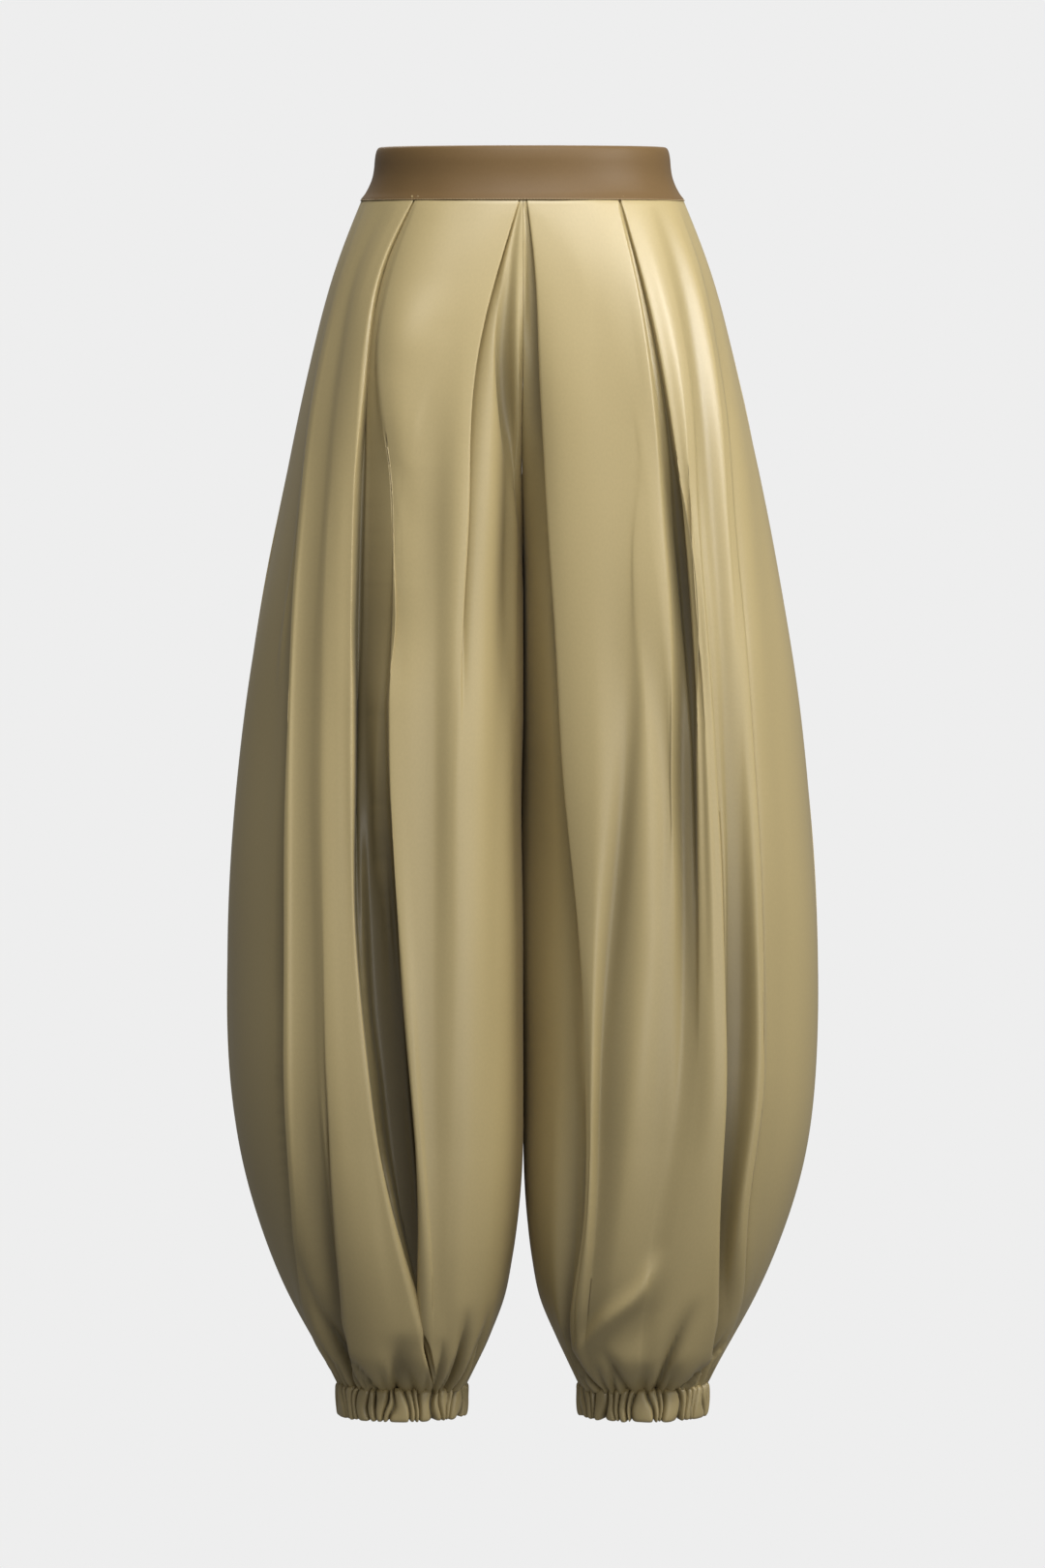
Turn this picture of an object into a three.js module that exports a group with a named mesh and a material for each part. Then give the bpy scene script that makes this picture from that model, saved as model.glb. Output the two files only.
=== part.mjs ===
// Lantern trousers in satin, filled out as they are when worn: a smooth contoured waistband,
// two full legs pleated into it, and a gathered elastic cuff at each ankle.
// Millimetres, +Z up. The front faces -Y and the wearer's left is +X.
// The origin is the middle of the waist opening, half way up the waistband.
import * as THREE from "three";

// Driving sizes.
const BAND_HEIGHT = 42;
const LEG_DROP = 928; // from the waist seam down to the cuff seam
const CUFF_HEIGHT = 24;
const CROTCH_DROP = 310; // from the waist seam down to where the legs part
const CLOTH_WALL = 1.4;
const BAND_WALL = 3; // two layers and a stiffener
const CUFF_WALL = 2.6; // a casing round its elastic
const CUFF_WIDTH = 102;
const CUFF_DEPTH = 90;
const CUFF_CENTRE = 94.6; // from the middle of the garment to the middle of a cuff
const SEAM_GAP = 0.3;

// How square a ring's outline is: its exponent, where 2 is an ellipse. The legs' inner sides
// differ, as one leg hangs fuller against the middle than the other.
const ROUNDNESS = 2.2;
const INNER_ROUNDNESS = [
  { drop: 0, rightFront: 3.4, leftFront: 3.4, back: 2.6 },
  { drop: 50, rightFront: 3.4, leftFront: 4.6, back: 2.6 },
  { drop: 300, rightFront: 3.4, leftFront: 5, back: 2.6 },
  { drop: 440, rightFront: 3.4, leftFront: 3.8, back: 2.6 },
  { drop: 640, rightFront: 3.4, leftFront: 3.1, back: 2.6 },
  { drop: 860, rightFront: 3.2, leftFront: 2.8, back: 2.6 },
];

const WAIST_SEAM_Z = -BAND_HEIGHT / 2;
const SATIN = { color: 0xb5a473, roughness: 0.42, metalness: 0 };
const BAND_SATIN = { color: 0x80623c, roughness: 0.45, metalness: 0 };

// The plain outline of one leg, level by level. Drop is the distance under the waist seam. Outer
// and inner are the sides' distances from the middle of the garment, centre is where the ring is
// deepest, and front and back are its depths there.
const OUTLINE = [
  { drop: 0, outer: 126.5, inner: 0.2, centre: 2, front: 95, back: 97 },
  { drop: 40, outer: 143, inner: 0.2, centre: 30, front: 101, back: 110 },
  { drop: 130, outer: 167.5, inner: 0.2, centre: 70, front: 110, back: 124 },
  { drop: 220, outer: 186.5, inner: 0.2, centre: 92, front: 113, back: 128 },
  { drop: 280, outer: 198.5, inner: 0.2, centre: 99.5, front: 114, back: 127 },
  { drop: CROTCH_DROP, outer: 204, inner: 0.2, centre: 102, front: 114, back: 125 },
  { drop: 480, outer: 226.5, inner: 0.2, centre: 113.5, front: 115, back: 121 },
  { drop: 620, outer: 232.3, inner: 0.2, centre: 116, front: 114, back: 118 },
  { drop: 740, outer: 223.5, inner: 0.8, centre: 112, front: 107, back: 110 },
  { drop: 830, outer: 197, inner: 8, centre: 103, front: 88, back: 91 },
  { drop: 860, outer: 184.5, inner: 14, centre: 99, front: 77.5, back: 80 },
  { drop: 888, outer: 169, inner: 24, centre: 96, front: 65.5, back: 68 },
  { drop: 908, outer: 157, inner: 33, centre: 95, front: 55.5, back: 57.5 },
  {
    drop: LEG_DROP,
    outer: CUFF_CENTRE + CUFF_WIDTH / 2,
    inner: CUFF_CENTRE - CUFF_WIDTH / 2,
    centre: CUFF_CENTRE,
    front: CUFF_DEPTH / 2,
    back: CUFF_DEPTH / 2,
  },
];

// How far out the front and back middle seams lie, as a share of the ring's depth there.
const MIDDLE_SEAMS = [
  { drop: 0, front: 0.999, back: 0.999 },
  { drop: 40, front: 0.985, back: 0.99 },
  { drop: 130, front: 0.86, back: 0.95 },
  { drop: 220, front: 0.56, back: 0.84 },
  { drop: 280, front: 0.26, back: 0.56 },
  { drop: CROTCH_DROP, front: 0, back: 0 },
];

// The waist dips at the front and stands higher behind, and the cuffs dip a little too.
const TILTS = [
  { drop: 0, tilt: 0.08 },
  { drop: 150, tilt: 0 },
  { drop: 780, tilt: 0 },
  { drop: LEG_DROP, tilt: 0.05 },
];

// Every fold is followed at these drops. Below the last of them, all folds run out evenly into
// the gathers at the cuff.
const FOLD_DROPS = [0, 50, 130, 260, 440, 680, 800, 880];

// One row for each fold, from the middle of the garment to its side. "at" is the fold's distance
// from the middle, "height" how far it stands out from the plain outline, and "step" how far the
// cloth beside its edge lies behind it, on the side that the edge faces.
const RIGHT_FRONT_FOLDS = [
  { name: "inner roll", at: [0.6, 3, 4, 4, 8, 10, 16, 30], height: [0, 0, 1, 2, 2, 2, 2, 2] },
  {
    name: "underlay crease",
    at: [1.2, 9.5, 11, 9, 18, 24, 32, 44],
    height: [0, -2.5, -5, -4.5, 0, 3, 4, 3],
  },
  {
    name: "underlay swell",
    at: [1.8, 12.8, 23, 28, 38, 40, 48, 54],
    height: [0, -1.5, -1, 1.5, 4.5, 5, 5, 4],
  },
  {
    name: "box pleat",
    at: [3.1, 17, 35.5, 43, 50, 53, 58, 62],
    height: [0.5, 1.5, 3, 4.5, 4.5, 4, 4, 3],
    step: [0.4, 4.5, 7, 6, 0, 0, 0, 0],
    faces: "middle",
  },
  { name: "soft trough", at: [42, 55, 64, 68, 68, 69, 66, 66.5], height: [0, 1, 2, 1.5, -1, 1, 3, 3] },
  {
    name: "soft ridge",
    at: [62, 78, 88, 91, 88, 78, 71.5, 70.5],
    height: [0.5, 1, 2.5, 2.5, 2, 2, 3.5, 3],
  },
  {
    name: "lobe edge",
    at: [80.5, 99, 110, 101, 101.8, 86.9, 75.5, 73.8],
    height: [0, 0, 1, 0.5, 2, 4, 5, 4],
    step: [0, 0, 0, 0, 14, 21, 20, 9],
    faces: "side",
  },
  {
    name: "valley floor",
    at: [82, 101.5, 113, 113, 111, 95, 83, 75.8],
    height: [-0.5, -1.2, -2, -6, -20, -25, -21, -6],
  },
  {
    name: "pleat strip",
    at: [83, 103, 115.2, 121, 121, 108, 90, 76.2],
    height: [-0.8, -2, -3, -9, -13, -14, -14, -5],
  },
  {
    name: "side pleat",
    at: [84.5, 105, 117.5, 127.8, 129, 118.8, 96.9, 77.5],
    height: [0.5, 1, 2, 2.5, 2.5, 3, 2, 2],
    step: [1.5, 3.5, 6, 12, 8, 0, 0, 0],
    faces: "middle",
  },
  {
    name: "outer ridge",
    at: [93, 114, 127, 139, 140.5, 134, 117, 104],
    height: [0.5, 1.2, 1.5, 3, 4, 5, 4, 3],
  },
  {
    name: "calf ridge",
    at: [99, 121, 134, 146, 151.7, 149, 138.5, 128],
    height: [0, 0.5, 0.5, 2, 4, 4, 4, 3.5],
  },
  {
    name: "outer valley",
    at: [105, 127, 141, 154, 162, 158, 149, 143],
    height: [-0.3, -0.6, -1, -0.5, 0, -1.5, -4, -4.5],
  },
  {
    name: "side ridge",
    at: [114, 134, 150, 165, 173, 174, 168, 162],
    height: [0, 0.5, 1, 4, 7, 7.5, 6, 4.5],
  },
  {
    name: "side edge",
    at: [120.5, 138.7, 156.3, 171.5, 180.5, 182.5, 176, 169],
    height: [0, 1, 2, 5, 9, 9, 7, 4],
    step: [0, 0.8, 2.5, 6, 13, 16, 12, 4],
    faces: "side",
  },
  {
    name: "side plane",
    at: [123.2, 142.5, 162.5, 183, 206, 212, 196, 173],
    height: [0, -0.5, -2, -5, -9, -9, -5, -1],
  },
];

const LEFT_FRONT_FOLDS = [
  { name: "inner wall", at: [0.6, 3, 5, 9, 13, 14, 15, 25], height: [0, -3, -8, -15, -13, -8, -4, 0] },
  {
    name: "inner lobe",
    at: [1.2, 5, 8.5, 14.5, 19.5, 24, 24, 29],
    height: [0, -4, -9, -17, -13, -7, -3, 1],
  },
  {
    name: "inner valley",
    at: [1.8, 7, 11, 18, 27, 38.5, 39, 33.5],
    height: [0, -4.5, -9, -16, -12, -5, -6, -5],
  },
  {
    name: "box pleat",
    at: [3.1, 9.2, 13.8, 21.3, 32.1, 49.7, 48, 38.4],
    height: [0.5, 1.5, 2.5, 4.5, 4, 3, 3.5, 3],
    step: [0.4, 5, 10, 18, 9, 0, 6, 5],
    faces: "middle",
  },
  { name: "front crest", at: [24, 33, 40, 48, 56, 54, 52, 44], height: [0, 1.5, 2.5, 3.5, 4, 5, 5, 4] },
  { name: "soft trough", at: [44, 58, 68, 79, 78, 60, 58, 50], height: [0, 1, 2, 2.5, 0.5, -3, 0, 2] },
  {
    name: "second crest",
    at: [58, 73, 86, 97, 98.5, 86, 76, 68],
    height: [0.5, 1.5, 2.5, 3.5, 4, 5, 5, 4],
  },
  {
    name: "pleat slope",
    at: [73.5, 85.5, 100.5, 114, 125, 115, 98, 88],
    height: [0, 2, 4, 2, -4, -1.5, 2.5, 3],
  },
  {
    name: "pleat valley",
    at: [74.5, 87, 103, 119, 129.5, 125, 106, 96],
    height: [-0.8, -0.5, 0, -6, -13, -4, 1.5, 2],
  },
  {
    name: "side pleat",
    at: [76.3, 88.9, 104.9, 122.8, 133.7, 136, 118, 106],
    height: [0.5, 3, 5.5, 6.5, 3, 0, 3, 3],
    step: [1.5, 3.5, 5.5, 13, 11, 0, 0, 0],
    faces: "middle",
  },
  {
    name: "outer ridge",
    at: [85, 99, 116, 128.5, 140.5, 147, 132, 124],
    height: [0.5, 3.5, 6.5, 8, 5, 4.5, 4.5, 4],
  },
  {
    name: "outer pleat",
    at: [95, 110, 125, 134.2, 147.2, 155.7, 145.2, 142.4],
    height: [0.5, 2, 4, 5.5, 4, 5, 5.5, 4],
    step: [0, 0, 0.5, 1.2, 1.8, 9, 15, 9],
    faces: "side",
  },
  {
    name: "outer valley",
    at: [103, 119, 133, 146, 156, 160.5, 150.5, 148],
    height: [0, -0.5, 0, 1, -2, -12, -14, -7],
  },
  {
    name: "side ridge",
    at: [113, 130, 145, 156, 167, 173, 161, 158],
    height: [0.5, 3, 5, 5, 1, -9, -9, -2],
  },
  {
    name: "side edge",
    at: [119, 136, 150, 162, 176, 185, 171.5, 168],
    height: [0.5, 2, 3, 3.5, 4, 5, 4, 3],
    step: [0, 0.5, 1, 1.2, 2, 4, 3, 1.5],
    faces: "side",
  },
  {
    name: "side plane",
    at: [123, 142, 159.5, 178, 199, 208, 190, 172],
    height: [0, 0, 0, -1, -1, -1.5, -1, -1],
  },
];

const BACK_FOLDS = [
  { name: "seat roll", at: [8, 12, 14, 13, 12, 12, 18, 30], height: [0, 0.5, 1, 1, 2, 3, 2, 2] },
  { name: "seat crest", at: [28, 38, 48, 53, 57, 58, 56, 52], height: [0, 2, 4, 5.5, 6, 7, 6, 4] },
  {
    name: "seat valley",
    at: [46, 60, 74, 83, 87, 84, 78, 70],
    height: [-0.5, -0.5, -1, -4, -8, -10, -8, -5],
  },
  {
    name: "back pleat",
    at: [60, 76, 91, 107, 117, 112, 98, 88],
    height: [0.5, 2, 3, 4.5, 4.5, 4, 4, 3],
    step: [2, 4, 6, 8, 8, 3, 0, 0],
    faces: "middle",
  },
  {
    name: "back ridge",
    at: [72, 88, 106, 125, 138, 136, 120, 106],
    height: [0.5, 2, 4, 5, 5, 7, 6, 4],
  },
  {
    name: "outer pleat",
    at: [84, 102, 121, 143, 159, 158, 140, 124],
    height: [0.5, 1.5, 3, 4, 4, 5, 5, 4],
    step: [0, 1, 2, 4, 7, 9, 8, 4],
    faces: "side",
  },
  {
    name: "outer valley",
    at: [96, 115, 135, 158, 175, 175, 154, 138],
    height: [0, -1, -2, -4, -6, -7, -6, -4],
  },
  {
    name: "outer ridge",
    at: [112, 132, 151, 177, 199, 203, 181, 160],
    height: [0, 1, 2.5, 4, 4, 4, 4, 2],
  },
];
const OTHER_BACK = { spread: 0.965, relief: 0.85 }; // the second back's folds against the first's

const STEP_WIDTH = 1.2; // across a fold's edge, from its lip to the cloth behind
const FRONT_SPACING = 17; // between points along a ring
const BACK_SPACING = 20;
const SHARPEST_CORNER = 1.6; // how far a corner's inside may lie from it, in wall thicknesses
const FRONT_LEVELS = [
  0, 30, 75, 130, 190, 250, 310, 375, 440, 510, 580, 645,
  705, 755, 795, 826, 851, 872, 890, 904, 917, LEG_DROP,
];
const BACK_LEVELS = [
  0, 45, 105, 175, 245, 310, 380, 460, 540, 620,
  690, 750, 800, 836, 862, 883, 900, 915, LEG_DROP,
];

// How deep the gathers are that the elastic makes in the leg above the cuff.
const GATHERS = [
  { drop: 854, depth: 0 },
  { drop: 906, depth: 2.6 },
  { drop: LEG_DROP, depth: 1.2 },
];
const EVEN_FROM = 846; // drop from which the folds spread out evenly

// The waistband's profile from its top edge down.
const BAND_PROFILE = [
  { z: 21, halfWidth: 112, front: 84.5, back: 86 },
  { z: 18.5, halfWidth: 115, front: 87, back: 88.5 },
  { z: 12, halfWidth: 116.5, front: 88.3, back: 89.8 },
  { z: 0, halfWidth: 117, front: 88.8, back: 90.3 },
  { z: -9, halfWidth: 120, front: 90.5, back: 92 },
  { z: -15.5, halfWidth: 123.3, front: 92.8, back: 94.3 },
  { z: WAIST_SEAM_Z, halfWidth: 127.3, front: 96, back: 98 },
];
const BAND_POINTS = 29;

// The cuff's profile from its seam down, as what is added to its half width.
const CUFF_PROFILE = [
  { down: 0, grow: -0.6 },
  { down: 6, grow: 0.6 },
  { down: 16, grow: 0.2 },
  { down: CUFF_HEIGHT, grow: -3.2 },
];
const CUFF_GATHERS = 26;
const CUFF_POINTS = CUFF_GATHERS * 4;
const CUFF_GATHER_DEPTH = 1.3;
const CUFF_UNEVEN = 0.22; // how far the gathers crowd and spread, in radians

const NUDGE = 1e-3; // radians either way to find which way a ring runs
const LEAST_TURN = 1e-4; // radians between two lines of a ring

// A smooth curve through (at, value) pairs that never overshoots them.
function curveThrough(at, value) {
  const last = at.length - 1;
  const slope = at.slice(1).map((x, i) => (value[i + 1] - value[i]) / (x - at[i]));
  const turn = at.map((_, i) => {
    if (i === 0) return slope[0];
    if (i === last) return slope[last - 1];
    const product = slope[i - 1] * slope[i];
    return product <= 0 ? 0 : (2 * product) / (slope[i - 1] + slope[i]);
  });
  return (x) => {
    const inside = Math.min(Math.max(x, at[0]), at[last]);
    let i = 0;
    while (i < last - 1 && inside > at[i + 1]) i += 1;
    const width = at[i + 1] - at[i];
    const t = (inside - at[i]) / width;
    return THREE.MathUtils.lerp(value[i], value[i + 1], t * t * (3 - 2 * t))
      + width * t * (1 - t) * ((1 - t) * turn[i] - t * turn[i + 1]);
  };
}

// One curve for a column of a table whose rows are levels.
function columnCurve(rows, column) {
  return curveThrough(rows.map((row) => row.drop), rows.map((row) => row[column]));
}

const outerAt = columnCurve(OUTLINE, "outer");
const innerAt = columnCurve(OUTLINE, "inner");
const centreAt = columnCurve(OUTLINE, "centre");
const depthAt = { front: columnCurve(OUTLINE, "front"), back: columnCurve(OUTLINE, "back") };
const seamAt = { front: columnCurve(MIDDLE_SEAMS, "front"), back: columnCurve(MIDDLE_SEAMS, "back") };
const tiltAt = columnCurve(TILTS, "tilt");
const gatherAt = columnCurve(GATHERS, "depth");

const power = (value, exponent) => Math.sign(value) * Math.abs(value) ** exponent;

// The leg's plain ring at one drop. Its angle runs from 0 at the inner side, past a right angle
// where the ring is deepest, to pi at the outer side. facing is -1 for the front and 1 for the back.
function legRing(drop, { facing, innerRoundness }) {
  const face = facing < 0 ? "front" : "back";
  const depth = depthAt[face](drop);
  const centre = centreAt(drop);
  const innerExponent = innerRoundness(drop);
  const start = Math.asin(seamAt[face](drop) ** (innerExponent / 2));
  const innerHalf = (centre - innerAt(drop)) / Math.cos(start) ** (2 / innerExponent);
  const outerHalf = outerAt(drop) - centre;
  const point = (angle) => {
    const isInner = angle < Math.PI / 2;
    const exponent = 2 / (isInner ? innerExponent : ROUNDNESS);
    return new THREE.Vector2(
      centre - power(Math.cos(angle), exponent) * (isInner ? innerHalf : outerHalf),
      facing * depth * Math.max(Math.sin(angle), 0) ** exponent,
    );
  };
  const angleAt = (x) => {
    const isInner = x < centre;
    const share = THREE.MathUtils.clamp((centre - x) / (isInner ? innerHalf : outerHalf), -1, 1);
    return Math.acos(power(share, (isInner ? innerExponent : ROUNDNESS) / 2));
  };
  return { start, point, angleAt };
}

// A fold with an edge is two lines in the cloth, its lip and the cloth behind it.
function linesOf(folds) {
  const followed = folds.flatMap(({ at, height, step, faces }) => {
    if (!step) return [{ at, height }];
    const behind = faces === "middle" ? -1 : 1;
    const low = {
      at: at.map((x) => x + (behind * STEP_WIDTH) / 2),
      height: height.map((h, i) => h - step[i]),
    };
    const lip = { at: at.map((x) => x - (behind * STEP_WIDTH) / 2), height };
    return behind < 0 ? [low, lip] : [lip, low];
  });
  return followed.map(({ at, height }) => ({
    at: curveThrough(FOLD_DROPS, at),
    height: curveThrough([...FOLD_DROPS, LEG_DROP], [...height, 0]),
  }));
}

// How many steps the points take from each line to the next, the same at every level.
function stepsBetween(lines, cut) {
  const gaps = Array(lines.length + 1).fill(0);
  for (const drop of cut.levels) {
    const ring = legRing(drop, cut);
    const angles = [ring.start, ...lines.map((line) => ring.angleAt(line.at(drop))), Math.PI];
    gaps.forEach((widest, i) => {
      gaps[i] = Math.max(widest, ring.point(angles[i]).distanceTo(ring.point(angles[i + 1])));
    });
  }
  return gaps.map((widest) => Math.max(1, Math.round(widest / cut.spacing)));
}

// The outer points of a panel's ring at one drop, from the middle seam to the side seam.
function panelRing(drop, lines, steps, cut) {
  const ring = legRing(drop, cut);
  const angles = [ring.start, ...lines.map((line) => ring.angleAt(line.at(drop))), Math.PI];
  const places = [0];
  for (let i = 1; i < angles.length; i += 1) {
    angles[i] = Math.max(angles[i], angles[i - 1] + LEAST_TURN);
    places.push(places[i - 1] + ring.point(angles[i - 1]).distanceTo(ring.point(angles[i])));
  }
  const heightAt = curveThrough(places, [0, ...lines.map((line) => line.height(drop)), 0]);
  const count = steps.reduce((sum, n) => sum + n, 0);
  const even = THREE.MathUtils.smoothstep(drop, EVEN_FROM, LEG_DROP);
  const gather = gatherAt(drop);
  const points = [];
  for (let interval = 0; interval < steps.length; interval += 1) {
    const isLast = interval === steps.length - 1;
    for (let j = 0; j < steps[interval] + (isLast ? 1 : 0); j += 1) {
      const share = j / steps[interval];
      const index = points.length;
      const folded = THREE.MathUtils.lerp(angles[interval], angles[interval + 1], share);
      const spread = THREE.MathUtils.lerp(ring.start, Math.PI, index / count);
      const angle = THREE.MathUtils.lerp(folded, spread, even);
      const place = THREE.MathUtils.lerp(places[interval], places[interval + 1], share);
      const ripple = index === 0 || index === count ? 0 : gather * Math.cos(Math.PI * index);
      const ahead = ring.point(Math.min(angle + NUDGE, Math.PI));
      const along = ahead.sub(ring.point(Math.max(angle - NUDGE, ring.start)));
      const outward = new THREE.Vector2(-cut.facing * along.y, cut.facing * along.x).normalize();
      points.push(ring.point(angle).addScaledVector(outward, heightAt(place) + ripple));
    }
  }
  return points;
}

// The same ring moved inwards by the wall's thickness, square to the cloth on either side.
function insetRing(points, facing, wall) {
  const inward = points.slice(1).map((point, i) => {
    const along = point.clone().sub(points[i]).normalize();
    return new THREE.Vector2(facing * along.y, -facing * along.x);
  });
  return points.map((point, i) => {
    const before = inward[Math.max(i - 1, 0)];
    const after = inward[Math.min(i, inward.length - 1)];
    const both = before.clone().add(after);
    const reach = Math.min(wall / (both.length() / 2), wall * SHARPEST_CORNER);
    return point.clone().addScaledVector(both.normalize(), reach);
  });
}

// A closed solid between two matching grids of points. Around says that each row closes on itself.
function wallBetween(outer, inner, { around = false, turned = false } = {}) {
  const rows = outer.length;
  const columns = outer[0].length;
  const positions = [...outer.flat(), ...inner.flat()].flatMap((p) => [p.x, p.y, p.z]);
  const at = (layer, row, column) => (layer * rows + row) * columns + (column % columns);
  const index = [];
  const quad = (a, b, c, d) => (turned ? index.push(a, c, b, a, d, c) : index.push(a, b, c, a, c, d));
  const spans = around ? columns : columns - 1;
  const last = rows - 1;
  for (let column = 0; column < spans; column += 1) {
    const next = column + 1;
    for (let row = 0; row < last; row += 1) {
      quad(at(0, row, column), at(0, row + 1, column), at(0, row + 1, next), at(0, row, next));
      quad(at(1, row, column), at(1, row, next), at(1, row + 1, next), at(1, row + 1, column));
    }
    quad(at(0, 0, column), at(0, 0, next), at(1, 0, next), at(1, 0, column));
    quad(at(0, last, column), at(1, last, column), at(1, last, next), at(0, last, next));
  }
  if (!around) {
    const end = columns - 1;
    for (let row = 0; row < rows - 1; row += 1) {
      quad(at(0, row, 0), at(1, row, 0), at(1, row + 1, 0), at(0, row + 1, 0));
      quad(at(0, row, end), at(0, row + 1, end), at(1, row + 1, end), at(1, row, end));
    }
  }
  return new THREE.BufferGeometry()
    .setAttribute("position", new THREE.Float32BufferAttribute(positions, 3))
    .setIndex(index);
}

// One front or back panel of a leg. side is 1 for the wearer's left leg and -1 for the right.
function panelGeometry(folds, side, cut) {
  const { facing, levels } = cut;
  const lines = linesOf(folds);
  const steps = stepsBetween(lines, cut);
  const halfGap = SEAM_GAP / 2;
  const placed = (points, drop) => points.map(({ x, y }) => {
    const clearX = Math.max(x, halfGap);
    const clearY = facing * Math.max(facing * y, halfGap);
    const topGap = drop === 0 ? SEAM_GAP : 0;
    const z = WAIST_SEAM_Z - topGap - drop + tiltAt(drop) * clearY;
    return new THREE.Vector3(side * clearX, clearY, z);
  });
  const rings = levels.map((drop) => panelRing(drop, lines, steps, cut));
  const outer = rings.map((ring, i) => placed(ring, levels[i]));
  const inner = rings.map((ring, i) => placed(insetRing(ring, facing, CLOTH_WALL), levels[i]));
  return wallBetween(outer, inner, { turned: side * facing > 0 });
}

// The front or back half of the waistband.
function bandGeometry(facing) {
  const ringOf = ({ halfWidth, front, back }, wall) => {
    const depth = facing < 0 ? front : back;
    return Array.from({ length: BAND_POINTS }, (_, i) => {
      const angle = (Math.PI * i) / (BAND_POINTS - 1);
      return new THREE.Vector2(
        -power(Math.cos(angle), 2 / ROUNDNESS) * (halfWidth - wall),
        facing * Math.max(Math.sin(angle), 0) ** (2 / ROUNDNESS) * (depth - wall),
      );
    });
  };
  const grid = (wall) => BAND_PROFILE.map((row) => ringOf(row, wall).map(({ x, y }) => {
    const clearY = facing * Math.max(facing * y, SEAM_GAP / 2);
    return new THREE.Vector3(x, clearY, row.z + tiltAt(0) * clearY);
  }));
  return wallBetween(grid(0), grid(BAND_WALL), { turned: facing > 0 });
}

// A gathered cuff: uneven gathers outside, and a plain round inside for the ankle.
function cuffGeometry(side) {
  const top = WAIST_SEAM_Z - LEG_DROP - SEAM_GAP;
  const ring = ({ down, grow }, wall) => Array.from({ length: CUFF_POINTS }, (_, i) => {
    const angle = (2 * Math.PI * i) / CUFF_POINTS;
    const crowded = CUFF_GATHERS * (angle + (CUFF_UNEVEN * Math.sin(3 * angle + side)) / 3);
    const ripple = wall ? 0 : CUFF_GATHER_DEPTH * Math.cos(crowded);
    const out = grow - wall + ripple;
    const y = Math.sin(angle) * (CUFF_DEPTH / 2 + out);
    return new THREE.Vector3(
      side * (CUFF_CENTRE + Math.cos(angle) * (CUFF_WIDTH / 2 + out)),
      y,
      top - down + tiltAt(LEG_DROP) * y,
    );
  });
  const grid = (wall) => CUFF_PROFILE.map((row) => ring(row, wall));
  return wallBetween(grid(0), grid(CUFF_WALL), { around: true, turned: side < 0 });
}

function varied(folds, { spread, relief }) {
  return folds.map((fold) => ({
    ...fold,
    at: fold.at.map((x) => x * spread),
    height: fold.height.map((h) => h * relief),
  }));
}

const RIGHT_FRONT = {
  facing: -1,
  levels: FRONT_LEVELS,
  spacing: FRONT_SPACING,
  innerRoundness: columnCurve(INNER_ROUNDNESS, "rightFront"),
};
const LEFT_FRONT = { ...RIGHT_FRONT, innerRoundness: columnCurve(INNER_ROUNDNESS, "leftFront") };
const BACK = {
  facing: 1,
  levels: BACK_LEVELS,
  spacing: BACK_SPACING,
  innerRoundness: columnCurve(INNER_ROUNDNESS, "back"),
};

const satin = new THREE.MeshStandardMaterial(SATIN);
const bandSatin = new THREE.MeshStandardMaterial(BAND_SATIN);

function piece(name, geometry, material) {
  const mesh = new THREE.Mesh(geometry, material);
  mesh.name = name;
  return mesh;
}

const trousers = new THREE.Group();
trousers.add(
  piece("waistband_front", bandGeometry(-1), bandSatin),
  piece("waistband_back", bandGeometry(1), bandSatin),
  piece("front_left", panelGeometry(LEFT_FRONT_FOLDS, 1, LEFT_FRONT), satin),
  piece("front_right", panelGeometry(RIGHT_FRONT_FOLDS, -1, RIGHT_FRONT), satin),
  piece("back_left", panelGeometry(varied(BACK_FOLDS, OTHER_BACK), 1, BACK), satin),
  piece("back_right", panelGeometry(BACK_FOLDS, -1, BACK), satin),
  piece("cuff_left", cuffGeometry(1), satin),
  piece("cuff_right", cuffGeometry(-1), satin),
);

export default trousers;
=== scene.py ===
"""Lantern trousers in satin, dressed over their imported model.

Metres, +Z up, the front faces -Y and the wearer's left is +X. The tables are in millimetres,
as a maker would measure them, and MM turns them into metres where a mesh is made.
"""

import math

import bpy
import numpy as np
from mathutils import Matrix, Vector


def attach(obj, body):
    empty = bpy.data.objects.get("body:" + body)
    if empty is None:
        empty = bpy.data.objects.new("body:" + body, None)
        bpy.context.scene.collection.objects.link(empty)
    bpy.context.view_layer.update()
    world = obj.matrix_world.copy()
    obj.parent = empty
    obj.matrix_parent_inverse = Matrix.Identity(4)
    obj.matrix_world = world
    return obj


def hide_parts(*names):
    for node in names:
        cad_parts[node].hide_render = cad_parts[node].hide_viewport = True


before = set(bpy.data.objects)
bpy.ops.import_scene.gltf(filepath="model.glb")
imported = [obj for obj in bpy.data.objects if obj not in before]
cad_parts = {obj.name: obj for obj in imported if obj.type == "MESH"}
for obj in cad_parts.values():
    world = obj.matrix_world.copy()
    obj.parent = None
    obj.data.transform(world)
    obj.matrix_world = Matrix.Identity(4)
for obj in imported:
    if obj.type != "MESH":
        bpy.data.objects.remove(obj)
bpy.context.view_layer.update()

MM = 0.001

# Driving sizes, the same as the solids'.
BAND_HEIGHT = 42
LEG_DROP = 928
CUFF_HEIGHT = 24
CROTCH_DROP = 310
CUFF_WIDTH = 102
CUFF_DEPTH = 90
CUFF_CENTRE = 94.6
SEAM_GAP = 0.3
WAIST_SEAM_Z = -BAND_HEIGHT / 2

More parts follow.
